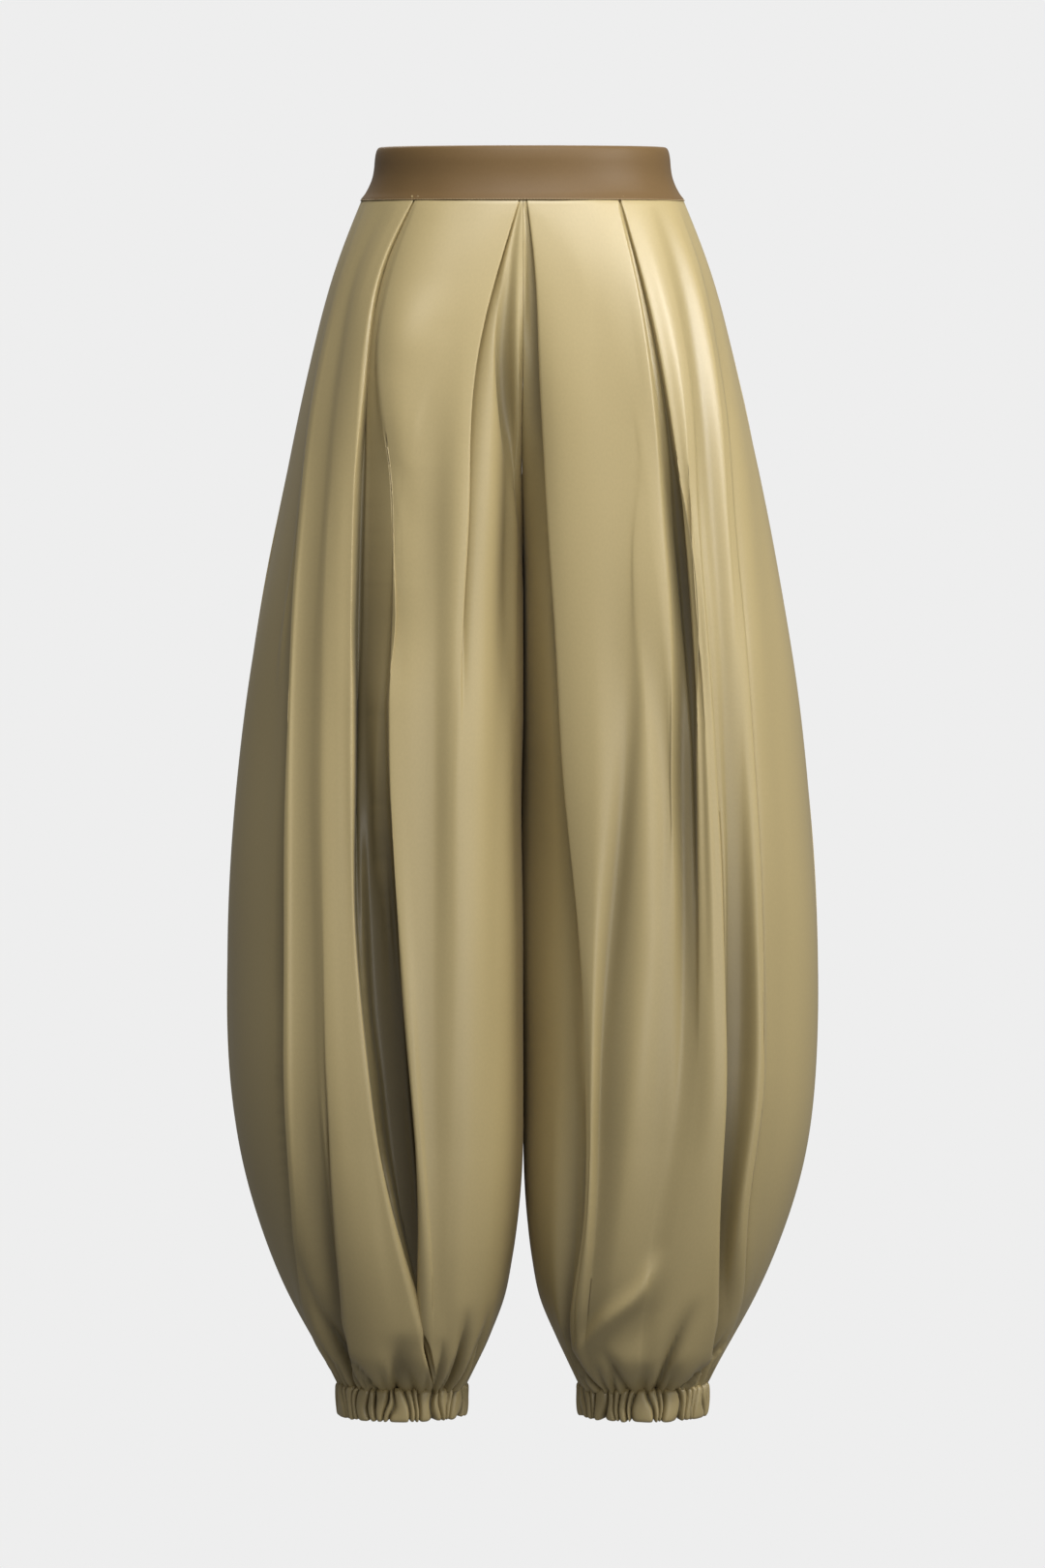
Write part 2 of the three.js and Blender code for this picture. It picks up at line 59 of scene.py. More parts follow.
# How square a ring's outline is: its exponent, where 2 is an ellipse. The legs' inner sides
# differ, as one leg hangs fuller against the middle than the other: drop, right front, left
# front, back.
ROUNDNESS = 2.2
INNER_ROUNDNESS = np.array([
    (0, 3.4, 3.4, 2.6),
    (50, 3.4, 4.6, 2.6),
    (300, 3.4, 5.0, 2.6),
    (440, 3.4, 3.8, 2.6),
    (640, 3.4, 3.1, 2.6),
    (860, 3.2, 2.8, 2.6),
])

# The plain outline of one leg, level by level: drop under the waist seam, the sides' distances
# from the middle of the garment, where the ring is deepest, and its depths there.
OUTLINE_COLUMNS = ("drop", "outer", "inner", "centre", "front", "back")
OUTLINE = np.array([
    (0, 126.5, 0.2, 2, 95, 97),
    (40, 143, 0.2, 30, 101, 110),
    (130, 167.5, 0.2, 70, 110, 124),
    (220, 186.5, 0.2, 92, 113, 128),
    (280, 198.5, 0.2, 99.5, 114, 126.8),
    (CROTCH_DROP, 204, 0.2, 102, 114.2, 126),
    (480, 226.5, 0.2, 113.5, 115, 121),
    (620, 232.3, 0.2, 116, 114, 118),
    (740, 223.5, 0.8, 112, 107, 110),
    (830, 197, 8, 103, 88, 91),
    (860, 184.5, 14, 99, 77.5, 80),
    (888, 167.5, 25, 96, 65.5, 68),
    (908, 155, 34, 95, 55.5, 57.5),
    (LEG_DROP, CUFF_CENTRE + CUFF_WIDTH / 2, CUFF_CENTRE - CUFF_WIDTH / 2, CUFF_CENTRE,
     CUFF_DEPTH / 2, CUFF_DEPTH / 2),
])

# How far out the middle seams lie, as a share of the ring's depth: drop, front, back.
MIDDLE_SEAMS = np.array([
    (0, 0.999, 0.999),
    (40, 0.985, 0.99),
    (130, 0.86, 0.95),
    (220, 0.56, 0.84),
    (280, 0.26, 0.56),
    (CROTCH_DROP, 0, 0),
])

# How far the rings dip at the front: drop, rise for each millimetre further back.
TILTS = np.array([(0, 0.08), (150, 0), (780, 0), (LEG_DROP, 0.05)])

# Every fold is followed at these drops. "at" is its distance from the middle, "height" how far
# it stands out, and "step" how far the cloth behind its edge lies back on the side it faces.
# "crisp" is how sharp that edge is where it isn't all sharp, and "hem" the fold's place at the
# cuff where it doesn't narrow with the outline.
FOLD_DROPS = [0, 50, 130, 260, 440, 680, 800, 880]


def fold(name, at, height, **more):
    return {"name": name, "at": at, "height": height, **more}


RIGHT_FRONT_FOLDS = [
    fold("inner roll", [0.6, 3, 4, 4, 8, 10, 16, 30], [0, 0, 1, 2, 2, 2, 2, 2], hem=48),
    fold("underlay crease", [1.2, 9.5, 11, 9, 18, 24, 32, 44], [0, -2.5, -5, -4.5, 0, 3, 4, 3],
         hem=52),
    fold("underlay swell", [1.8, 12.8, 23, 28, 38, 40, 48, 54], [0, -1.5, -1, 1.5, 4.5, 5, 5, 4],
         hem=55.5),
    fold("box pleat", [3.1, 17, 35.5, 43, 50, 53, 58, 62], [0.5, 1.5, 3, 4.5, 4.5, 4, 4, 3],
         step=[0.4, 4.5, 7, 6, 0, 0, 0, 0], faces="middle", hem=58.5),
    fold("soft trough", [42, 55, 64, 68, 68, 69, 66, 66.5], [0, 1, 2, 1.5, -1, 1, 3, 3], hem=61),
    fold("soft ridge", [62, 78, 88, 91, 88, 78, 71.5, 70.5], [0.5, 1, 2.5, 2, 1, 2, 3.5, 3],
         hem=63.5),
    fold("lobe edge", [80.5, 99, 110, 101, 101.8, 86.9, 77.5, 74.3], [0, 0, 1, 0.5, 2, 4, 5, 3],
         step=[0, 0, 0, 0, 7, 28, 27, 0], crisp=[0, 0, 0, 0, 0, 0.9, 1, 0.4], faces="side",
         hem=66),
    fold("valley floor", [82, 103, 114, 109, 108, 93.5, 82, 76],
         [-0.5, -1.2, -2.5, -5, -13, -26, -23, -1], hem=67.2),
    fold("pleat strip", [83, 106.5, 117.5, 122, 121, 107, 93, 77.6],
         [-0.8, -2, -4, -13, -20, -28, -24, -2], hem=68.4),
    fold("side pleat", [84.5, 110, 120.6, 129, 130.5, 118.8, 100.5, 80],
         [0.5, 1, 2, 2.5, 2.5, 3, 2, 3], step=[1.5, 3.5, 7, 17, 24, 12, 14, 9],
         crisp=[1, 1, 1, 1, 1, 0.3, 0.9, 1], faces="middle", hem=69.6),
    fold("outer ridge", [93, 118, 131, 140.5, 142, 134, 118, 104], [0.5, 1.2, 1.5, 3, 4, 5, 4, 3],
         hem=98),
    fold("calf ridge", [99, 124, 137, 148, 152, 149, 142.5, 132], [0, 0.5, 0.5, 3, 6, 7, 6, 4],
         step=[0, 0, 0, 0, 0, 1, 8, 12], faces="side", hem=127),
    fold("outer valley", [105, 129.5, 143, 155, 162, 158, 149.5, 138.5],
         [-0.3, -0.6, -1, 1, 4, 3, -5, -12], hem=131.5),
    fold("side ridge", [114, 134, 150, 165, 173, 174, 168, 162],
         [0, 0.5, 1.5, 4.5, 7.5, 7.5, 6, 3]),
    fold("side edge", [120.5, 138.7, 156, 169, 177.5, 179.5, 174, 168.5],
         [0, 1, 3, 6, 9.5, 9.5, 7, 2], step=[0, 0.8, 3, 9, 17, 19, 12, 0.5], faces="side"),
    fold("side plane", [123.2, 142.5, 162.5, 183, 206, 212, 196, 173],
         [0, -0.5, -2, -6, -11, -11, -6, -1]),
]

LEFT_FRONT_FOLDS = [
    fold("inner wall", [0.6, 3, 5, 9, 13, 14, 15, 25], [0, -3, -8, -15, -13, -8, -4, 0], hem=45),
    fold("inner lobe", [1.2, 5, 8.5, 14.5, 19.5, 24, 24, 29], [0, -4, -9, -17, -13, -7, -3, 1],
         hem=46.2),
    fold("inner valley", [1.8, 7, 11, 18, 27, 38.5, 39, 33.5],
         [0, -4.5, -9, -16, -12, -5, -8, -7], hem=47.4),
    fold("box pleat", [3.1, 9.2, 13.8, 21.3, 32.1, 49.7, 50, 38.8],
         [0.5, 1.5, 2.5, 4.5, 4, 3, 3.5, 3], step=[0.4, 5, 10, 18, 9, 0, 8, 8],
         crisp=[1, 1, 1, 1, 0.3, 0, 0.8, 1], faces="middle", hem=49),
    fold("front crest", [24, 33, 40, 48, 56, 54, 52, 44], [0, 1.5, 2.5, 3.5, 4, 5, 5, 4]),
    fold("soft trough", [44, 58, 68, 79, 78, 60, 58, 50], [0, 1, 2, 2.5, 0.5, -3, 0, 2]),
    fold("second crest", [58, 73, 86, 97, 98.5, 86, 76, 68], [0.5, 1.5, 2.5, 3.5, 4, 5, 5, 4]),
    fold("pleat slope", [72, 83.5, 95.5, 108, 117, 112, 98, 88], [0, 2, 4, 2, 2, -1.5, 2.5, 3]),
    fold("pleat valley", [74, 86, 99.5, 115.5, 125, 123, 106, 96],
         [-0.8, -0.5, 0, -6, -10, -4, 1.5, 2]),
    fold("side pleat", [76.3, 88.9, 104.9, 122.8, 133.7, 136, 118, 106],
         [0.5, 3, 5.5, 6.5, 3, 0, 3, 3], step=[1.5, 3.5, 5.5, 14, 13, 0, 0, 0],
         crisp=[1, 1, 1, 1, 1, 0, 0, 0], faces="middle"),
    fold("outer ridge", [85, 99, 116, 128.5, 140.5, 147, 132, 124],
         [0.5, 3.5, 6.5, 8, 5, 4.5, 4.5, 4]),
    fold("outer pleat", [95, 110, 125, 134.2, 147.2, 155.7, 149, 144],
         [0.5, 2, 4, 5.5, 4, 5, 5.5, 4], step=[0, 0, 0.5, 1.2, 1.8, 9, 15, 12], faces="side",
         hem=138),
    fold("outer valley", [103, 119, 133, 146, 156, 160.5, 153.5, 149],
         [0, -0.5, 0, 1, -2, -12, -14, -7], hem=140),
    fold("side ridge", [113, 130, 145, 156, 167, 173, 162, 158], [0.5, 3, 5, 5, 1, -9, -9, -2],
         hem=142),
    fold("side edge", [119, 136, 150, 162, 176, 185, 170, 168.5], [0.5, 2, 3, 3.5, 4, 5, 4, 1],
         step=[0, 0.5, 1, 1.2, 2, 4, 3, 0.4], faces="side", hem=143.5),
    fold("side plane", [123, 142, 159.5, 178, 199, 208, 190, 172],
         [0, 0, 0, -1, -1, -1.5, -1, -1]),
]

BACK_FOLDS = [
    fold("seat roll", [8, 12, 14, 13, 12, 12, 18, 30], [0, 0.5, 1, 1, 2, 3, 2, 2]),
    fold("seat crest", [28, 38, 48, 53, 57, 58, 56, 52], [0, 2, 4, 5.5, 6, 7, 6, 4]),
    fold("seat valley", [46, 60, 74, 83, 87, 84, 78, 70], [-0.5, -0.5, -1, -4, -8, -10, -8, -5]),
    fold("back pleat", [60, 76, 91, 107, 117, 112, 98, 88], [0.5, 2, 3, 4.5, 4.5, 4, 4, 3],
         step=[2, 4, 6, 8, 8, 3, 0, 0], faces="middle"),
    fold("back ridge", [72, 88, 106, 125, 138, 136, 120, 106], [0.5, 2, 4, 5, 5, 7, 6, 4]),
    fold("outer pleat", [84, 102, 121, 143, 159, 158, 140, 124], [0.5, 1.5, 3, 4, 4, 5, 5, 4],
         step=[0, 1, 2, 4, 7, 9, 8, 4], faces="side"),
    fold("outer valley", [96, 115, 135, 158, 175, 175, 154, 138],
         [0, -1, -2, -4, -6, -7, -6, -4]),
    fold("outer ridge", [112, 132, 151, 177, 199, 203, 181, 160], [0, 1, 2.5, 4, 4, 4, 4, 2]),
]

# Shaping of the cloth, in millimetres.
ROW_STEP = 4.0  # between rows down a leg
COLUMN_STEP = 3.0  # between points along a row
LEAST_LENGTH = 0.05  # least length of cloth between two lines
LEAST_APART = 1e-3  # least distance between two folds
FINE_POINTS = 241  # points along a plain ring, for lengths along it
FOLD_SMOOTHING = 14.0  # how far down the leg a fold's line is evened out
OUTLINE_SMOOTHING = 24.0  # how far down the leg its plain outline is
HEM_SMOOTHING = 5.0  # how far down the leg the puff over the cuff is
OUTLINE_HELD = 0.5  # radians from the middle seam in which it is evened less
STEEPEST = 2.5  # steepest slope at a point, in slopes of its flatter side
FOLDS_RISE = (-4, 12)  # drops between which the folds rise from the waist seam
HELD_FROM = 896  # drop from which the folds flatten into the cuff
ROUND_FROM = HELD_FROM - 40  # drop from which it puffs out square to its plain outline
CLOTH = 0.5  # thickness of the shell

# A pleat's edge, in millimetres.
EDGE_TURN = 0.5  # how far it turns past its lip
EDGE_ROUND = 0.1  # how much lower it lies than its lip, for each millimetre of its step
EDGE_LAP = 1.2  # how far it laps the cloth behind
EDGE_DIP = 2.5  # how much deeper the cloth lies right behind it
EDGE_REACH = 3.0  # how far from it the cloth beside it bends
EDGE_FULL = 3.5  # step at which it is fully sharp
SOFT_SPREAD = 2.5  # how far a fading edge spreads each way

# Least room to the next fold, and the share of it that each part of an edge may take.
LEAST_ROOM = 0.4
LIP_SHARE = 0.25
TURN_SHARE = 0.2
LAP_SHARE = 0.3
BEND_SHARE = 0.4

# Seams, tucks and where the legs meet, in millimetres.
SEAM_ALLOWANCE = 5.0  # turned in along a side seam
ALLOWANCE_STEPS = (SEAM_ALLOWANCE, 2.5, 0.8)
SEAM_LIFT = 0.3  # how far the front's allowance lies off the back's
SEAM_TUCK = 3.0  # tucked into the waistband and the cuff
TOP_TUCK = ((1, 2.4), (0.4, 1.4))  # share of the tuck, and how far in the cloth lies there
FOOT_TUCK = ((0.4, 1.2), (1, 2.2))
SEAM_CALM = 14  # how far from a seam the creases are held back
SEAM_RELIEF = 0.35  # how much of them stays at it
LEG_LEAN = 0.04  # least distance of a leg from the middle
CONTACT_WAVE = 0.7  # how unevenly the legs meet there
CONTACT_STEP = 9  # how quickly that changes from front to back
CONTACT_REACH = 5  # how far from the middle it is felt

# Creases, gathers and swells.
GATHER_DEPTH = 2.2  # depth of the gathers for each unit in their table
GATHER_RUN = 1.8  # how far up they run, in lengths
GATHER_FULL = 0.85  # share of that run, from its top, where they are fully deep
GATHER_WIDTH = 1.1  # how wide they are at the cuff, in widths
GATHER_OPENS = 0.5  # how many widths more at the top
GATHER_ROUND = 1.3  # how round their sides are
GATHER_LEAN_DROP = 100  # height for which a gather's lean is stated
WAVES_FROM = (40, 200)  # drops between which the swells begin
WAVES_END = 60  # how far above the cuff they fade

# The swells: height, length along a row and down the leg, and shift with the seed.
WAVES = ((0.55, 23, 61, 1), (0.45, 37, -83, 2.1), (0.35, 55, 29, 3.3))

# Painted shade in the folds: the satin's colour is made darker where the cloth lies deep below the
# crests around it.
HOLLOW_REACH = 12.0  # how far off the crests are that a point lies below
HOLLOW_PITCH = 2.0  # between the places where they are looked for
HOLLOW_FULL = 20.0  # how far below them the painted shade is full
PAINTED_FOLD_SHADE = 0.7  # how much darker the satin's colour is painted there, as shade


def smoothstep(low, high, value):
    t = np.clip((value - low) / (high - low), 0, 1)
    return t * t * (3 - 2 * t)


def end_slopes(at, value):
    """Slopes of a curve that keeps to its points and never overshoots them, along the last axis."""
    width = np.diff(at, axis=-1)
    slope = np.diff(value, axis=-1) / width
    first, second = slope[..., :-1], slope[..., 1:]
    before, after = width[..., :-1], width[..., 1:]
    middle = (first * after + second * before) / (before + after)
    limit = STEEPEST * np.minimum(np.abs(first), np.abs(second))
    middle = np.where(first * second > 0, np.clip(middle, -limit, limit), 0)
    return np.concatenate([slope[..., :1], middle, slope[..., -1:]], axis=-1)


def hermite(share, width, start, end, leave, arrive):
    s = share
    return (
        start * (1 + 2 * s) * (1 - s) ** 2
        + end * s * s * (3 - 2 * s)
        + width * (leave * s * (1 - s) ** 2 - arrive * s * s * (1 - s))
    )


def curve(at, value):
    """A smooth curve through the points, level before the first and after the last."""
    at = np.asarray(at, float)
    value = np.asarray(value, float)
    slopes = end_slopes(at, value)

    def evaluate(x):
        inside = np.clip(x, at[0], at[-1])
        i = np.clip(np.searchsorted(at, inside, side="right") - 1, 0, len(at) - 2)
        width = at[i + 1] - at[i]
        share = (inside - at[i]) / width
        return hermite(share, width, value[i], value[i + 1], slopes[i], slopes[i + 1])

    return evaluate


def column(table, index):
    return curve(table[:, 0], table[:, index])


outline = {name: column(OUTLINE, i) for i, name in enumerate(OUTLINE_COLUMNS) if i}
seam_share = {"front": column(MIDDLE_SEAMS, 1), "back": column(MIDDLE_SEAMS, 2)}
tilt_at = column(TILTS, 1)
roundness = {
    name: column(INNER_ROUNDNESS, i) for i, name in enumerate(("right", "left", "back"), 1)
}


def power(value, exponent):
    return np.sign(value) * np.abs(value) ** exponent


def evened(values, spacing, smoothing=FOLD_SMOOTHING):
    """Values down the rows, evened out over some millimetres. The ends stay put."""
    reach = int(3 * smoothing / spacing)
    weights = np.exp(-0.5 * (np.arange(-reach, reach + 1) * spacing / smoothing) ** 2)
    weights /= weights.sum()
    head = 2 * values[0] - values[reach:0:-1]
    tail = 2 * values[-1] - values[-2:-reach - 2:-1]
    return np.convolve(np.concatenate([head, values, tail]), weights, mode="valid")


def out_from(along, facing):
    """The level directions that point out of the cloth, for those along it."""
    normal = np.stack([-facing * along[..., 1], facing * along[..., 0]], axis=-1)
    return normal / np.maximum(np.linalg.norm(normal, axis=-1, keepdims=True), 1e-6)


def added_up(lengths):
    """How far along its row each length ends, after a first 0."""
    return np.pad(np.cumsum(lengths, axis=1), ((0, 0), (1, 0)))


class Rings:
    """The plain rings of one leg's front or back, one at each drop."""

    def __init__(self, drops, facing, inner_roundness):
        face = "front" if facing < 0 else "back"
        self.facing = facing
        self.inner = inner_roundness(drops)[:, None]
        self.depth = outline[face](drops)[:, None]
        self.centre = outline["centre"](drops)[:, None]
        share = seam_share[face](drops)[:, None]
        self.start = np.arcsin(share ** (self.inner / 2))
        reach = np.cos(self.start) ** (2 / self.inner)
        self.inner_half = (self.centre - outline["inner"](drops)[:, None]) / reach
        self.outer_half = outline["outer"](drops)[:, None] - self.centre

    def point(self, angle):
        is_inner = angle < math.pi / 2
        exponent = np.where(is_inner, 2 / self.inner, 2 / ROUNDNESS)
        half = np.where(is_inner, self.inner_half, self.outer_half)
        x = self.centre - power(np.cos(angle), exponent) * half
        y = self.facing * self.depth * np.maximum(np.sin(angle), 0) ** exponent
        return np.stack([x, y], axis=-1)

    def angle_at(self, x):
        is_inner = x < self.centre
        half = np.where(is_inner, self.inner_half, self.outer_half)
        share = np.clip((self.centre - x) / half, -1, 1)
        return np.arccos(power(share, np.where(is_inner, self.inner, ROUNDNESS) / 2))

    def outward(self, angle):
        nudge = 2e-3
        ahead = self.point(np.minimum(angle + nudge, math.pi))
        along = ahead - self.point(np.maximum(angle - nudge, self.start))
        return out_from(along, self.facing)


def lines_of(folds, drops):
    """Each fold's lines, as arrays of place and height down the rows. An edge has five."""
    spacing = drops[1] - drops[0]
    held = 1 - smoothstep(HELD_FROM, LEG_DROP, drops)
    risen = smoothstep(*FOLDS_RISE, drops) * held
    last, inner, outer = FOLD_DROPS[-1], outline["inner"], outline["outer"]
    narrowed = (outer(LEG_DROP) - inner(LEG_DROP)) / (outer(last) - inner(last))
    places = []
    for fold in folds:
        hem = fold.get("hem", inner(LEG_DROP) + (fold["at"][-1] - inner(last)) * narrowed)
        places.append(evened(curve(FOLD_DROPS + [LEG_DROP], fold["at"] + [hem])(drops), spacing))
    heights = [evened(curve(FOLD_DROPS, fold["height"])(drops), spacing) * risen for fold in folds]
    flat = np.zeros_like(drops)
    bounds = [inner(drops), *places, outer(drops)]
    apart = LEAST_APART * np.arange(len(bounds))
    rows = np.maximum.accumulate(np.stack(bounds, axis=1) + apart, axis=1)
    soft = [curve(*row) for row in zip(rows, np.stack([flat, *heights, flat], axis=1))]
    lines = []
    for index, (fold, at, height) in enumerate(zip(folds, places, heights)):
        if "step" not in fold:
            lines.append((at, height))
            continue
        step = evened(curve(FOLD_DROPS, fold["step"])(drops), spacing)
        step = np.maximum(step, 0) * held
        sharp = smoothstep(0, EDGE_FULL, step)
        if "crisp" in fold:
            sharp = sharp * curve(FOLD_DROPS, fold["crisp"])(drops)
        faces = -1 if fold["faces"] == "middle" else 1
        behind = np.maximum(np.abs(bounds[index + 1 + faces] - at), LEAST_ROOM)
        before = np.maximum(np.abs(bounds[index + 1 - faces] - at), LEAST_ROOM)
        half = SOFT_SPREAD + (EDGE_TURN - SOFT_SPREAD) * sharp
        lap = EDGE_LAP * smoothstep(EDGE_FULL, 3 * EDGE_FULL, step)
        lip = at - faces * np.minimum(half, LIP_SHARE * before)
        edge = at + faces * np.minimum(EDGE_TURN, TURN_SHARE * behind) * sharp
        back = np.minimum(half, LIP_SHARE * behind) - np.minimum(lap, LAP_SHARE * before)
        low = at + faces * back
        shoulder = lip - faces * np.minimum(EDGE_REACH, BEND_SHARE * before)
        foot = low + faces * np.minimum(EDGE_REACH, BEND_SHARE * behind)
        rounded = np.minimum(step / 2, EDGE_TURN + EDGE_ROUND * step) * sharp
        falls = (0, 0, rounded, step + EDGE_DIP * sharp, step)
        run = []
        for place, fall in zip((shoulder, lip, edge, low, foot), falls):
            plain = np.array([row(x) for row, x in zip(soft, place)])
            run.append((place, plain + (height - plain) * sharp - fall))
        lines.extend(run if faces > 0 else reversed(run))
    return lines


def cloth_rows(folds, facing, inner_roundness, drops):
    """Points of a panel's cloth, rows by columns, and the angle round the ring of each."""
    rings = Rings(drops, facing, inner_roundness)
    lines = lines_of(folds, drops)
    count = len(drops)
    end = np.full((count, 1), math.pi)
    placed = rings.angle_at(np.stack([at for at, _ in lines], axis=1))
    angles = np.concatenate([rings.start, placed, end], axis=1)
    zero = np.zeros((count, 1))
    heights = np.concatenate([zero, np.stack([h for _, h in lines], axis=1), zero], axis=1)

    places = rings.point(angles)
    gaps = np.linalg.norm(np.diff(places, axis=1), axis=-1)
    rises = np.diff(heights, axis=1)
    lengths = np.maximum(np.hypot(gaps, rises), LEAST_LENGTH)
    along = added_up(lengths)
    angle_slopes = end_slopes(along, angles)
    height_slopes = end_slopes(along, heights)

    def after(line, share, values, slopes):
        near, far = values[:, line], values[:, line + 1]
        return hermite(share, lengths[:, line], near, far, slopes[:, line], slopes[:, line + 1])

    steps = np.maximum(2, np.ceil(lengths.max(axis=0) / COLUMN_STEP).astype(int))
    total = steps.sum()
    shares = [(k, j / n) for k, n in enumerate(steps) for j in range(n)] + [(len(steps) - 1, 1.0)]
    points = np.zeros((count, total + 1, 2))
    turned = np.zeros((count, total + 1))
    raised = np.zeros((count, total + 1))
    for index, (line, share) in enumerate(shares):
        angle = after(line, share, angles, angle_slopes)
        angle = np.clip(angle, rings.start[:, 0], math.pi)[:, None]
        points[:, index] = rings.point(angle)[:, 0]
        turned[:, index] = angle[:, 0]
        raised[:, index] = after(line, share, heights, height_slopes)
    spacing = drops[1] - drops[0]
    smooth = np.apply_along_axis(evened, 0, points, spacing, OUTLINE_SMOOTHING)
    points += (smooth - points) * smoothstep(0, OUTLINE_HELD, turned - rings.start)[..., None]
    return points + rings.outward(turned) * raised[..., None], turned, raised


def varied(folds, spread, relief_share):
    """The same folds, spread and standing out otherwise, for the other side."""
    return [
        {
            **fold,
            "at": [x * spread for x in fold["at"]],
            "height": [h * relief_share for h in fold["height"]],
        }
        for fold in folds
    ]


def relief(creases, drops, arcs, arc_at):
    """How far the cloth stands out for a table of creases, rows by columns."""
    total = np.zeros_like(arcs)
    for depth, half_width, faded, path in creases:
        path = np.array(path, float)
        first, last = path[0, 0], path[-1, 0]
        here = (drops > first) & (drops < last)
        if not here.any():
            continue
        down = drops[here]
        x = curve(path[:, 0], path[:, 1])(down)
        slant = np.gradient(x, down) if len(down) > 1 else np.zeros_like(x)
        fade = faded * (last - first)
        strength = smoothstep(0, fade, down - first) * smoothstep(0, fade, last - down)
        width = half_width * np.sqrt(1 + slant ** 2)
        away = (arcs[here] - arc_at(x, here)[:, None]) / width[:, None]
        total[here] -= depth * strength[:, None] * np.exp(-away ** 2)
    return total


def hem_gathers(gathers, drops, turns):
    """The gathers that the casing draws the cloth into, rows by columns."""
    up = (LEG_DROP - drops)[:, None]
    total = np.zeros_like(turns)
    for share, length, depth, width, lean in gathers:
        rise = np.clip(1 - up / (GATHER_RUN * length), 0, 1)
        place = share + lean * up / GATHER_LEAN_DROP
        spread = width * (GATHER_WIDTH + GATHER_OPENS * (1 - rise))
        away = np.abs(turns - place) / spread
        fall = GATHER_DEPTH * depth * smoothstep(0, GATHER_FULL, rise)
        total -= fall * np.exp(-away ** GATHER_ROUND)
    return total


def waves(arcs, drops, seed):
    """Low uneven swells of soft cloth, no more than about a millimetre."""
    d = drops[:, None]
    swell = sum(
        height * np.sin(arcs / across + d / down + shift * seed)
        for height, across, down, shift in WAVES
    )
    faded = 1 - smoothstep(LEG_DROP - WAVES_END, LEG_DROP, d)
    return swell * smoothstep(*WAVES_FROM, d) * faded


def place_rows(points, drops, side, facing):
    """Leg rows in the frame, in metres."""
    x = side * np.maximum(points[..., 0], LEG_LEAN)
    wave = CONTACT_WAVE * np.sin(points[..., 1] / CONTACT_STEP)
    x = x + wave * np.exp(-np.abs(x) / CONTACT_REACH)
    y = facing * np.maximum(facing * points[..., 1], SEAM_GAP / 2)
    down = drops[:, None]
    z = WAIST_SEAM_Z - down + tilt_at(np.clip(down, 0, LEG_DROP)) * y
    return np.stack([x, y, z], axis=-1) * MM


def hollows(arcs, raised):
    """How deep each point lies below the cloth around it, the mask for the painted shade: 0 on a
    crest, 1 deep in a fold.
    """
    reach = int(HOLLOW_REACH / HOLLOW_PITCH)
    even = np.full(2 * reach + 1, 1 / (2 * reach + 1))
    deep = np.zeros_like(raised)
    for row, (arc, height) in enumerate(zip(arcs, raised)):
        order = np.argsort(arc)
        grid = np.arange(0, arc.max() + HOLLOW_PITCH, HOLLOW_PITCH)
        level = np.pad(np.interp(grid, arc[order], height[order]), 2 * reach, mode="edge")
        crest = np.lib.stride_tricks.sliding_window_view(level, 2 * reach + 1).max(axis=1)
        around = np.convolve(crest, even, mode="valid")
        deep[row] = np.interp(arc, grid, around) - height
    return np.clip(deep / HOLLOW_FULL, 0, 1)


def mark_painted_shade(mesh, deep):
    """Keeps how deep each point lies, the mask for the shade painted into the satin's colour in its
    folds.
    """
    mark = mesh.attributes.new("painted_shade", "FLOAT", "POINT")
    mark.data.foreach_set("value", deep.ravel().astype(np.float32))


def smooth_mesh(name, points, faces):
    mesh = bpy.data.meshes.new(name)
    mesh.from_pydata(points, [], faces)
    mesh.shade_smooth()
    return mesh


def lay_flat(mesh, across, down):
    """A UV map for a grid of points, in metres of flat cloth."""
    uv = mesh.uv_layers.new(name="cloth")
    flat = np.stack(np.broadcast_arrays(across, down), axis=-1).reshape(-1, 2)
    loops = np.zeros(len(mesh.loops), int)
    mesh.loops.foreach_get("vertex_index", loops)
    uv.data.foreach_set("uv", flat[loops].ravel())


def grid_mesh(name, points, turned, across, down):
    """A smooth mesh of a grid of points, with a UV map in metres of flat cloth."""
    rows, columns = points.shape[:2]
    index = np.arange(rows * columns).reshape(rows, columns)
    a, b = index[:-1, :-1], index[1:, :-1]
    c, d = index[1:, 1:], index[:-1, 1:]
    quads = np.stack([a, d, c, b] if turned else [a, b, c, d], axis=-1).reshape(-1, 4)
    mesh = smooth_mesh(name, points.reshape(-1, 3).tolist(), quads.tolist())
    lay_flat(mesh, across, down)
    return mesh


def linked(name, data):
    added = bpy.data.objects.new(name, data)
    bpy.context.scene.collection.objects.link(added)
    return added


def add_piece(name, mesh, material, nodes=()):
    piece = linked(name, mesh)
    mesh.materials.append(material)
    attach(piece, "root")
    if nodes:
        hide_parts(*nodes)
    return piece


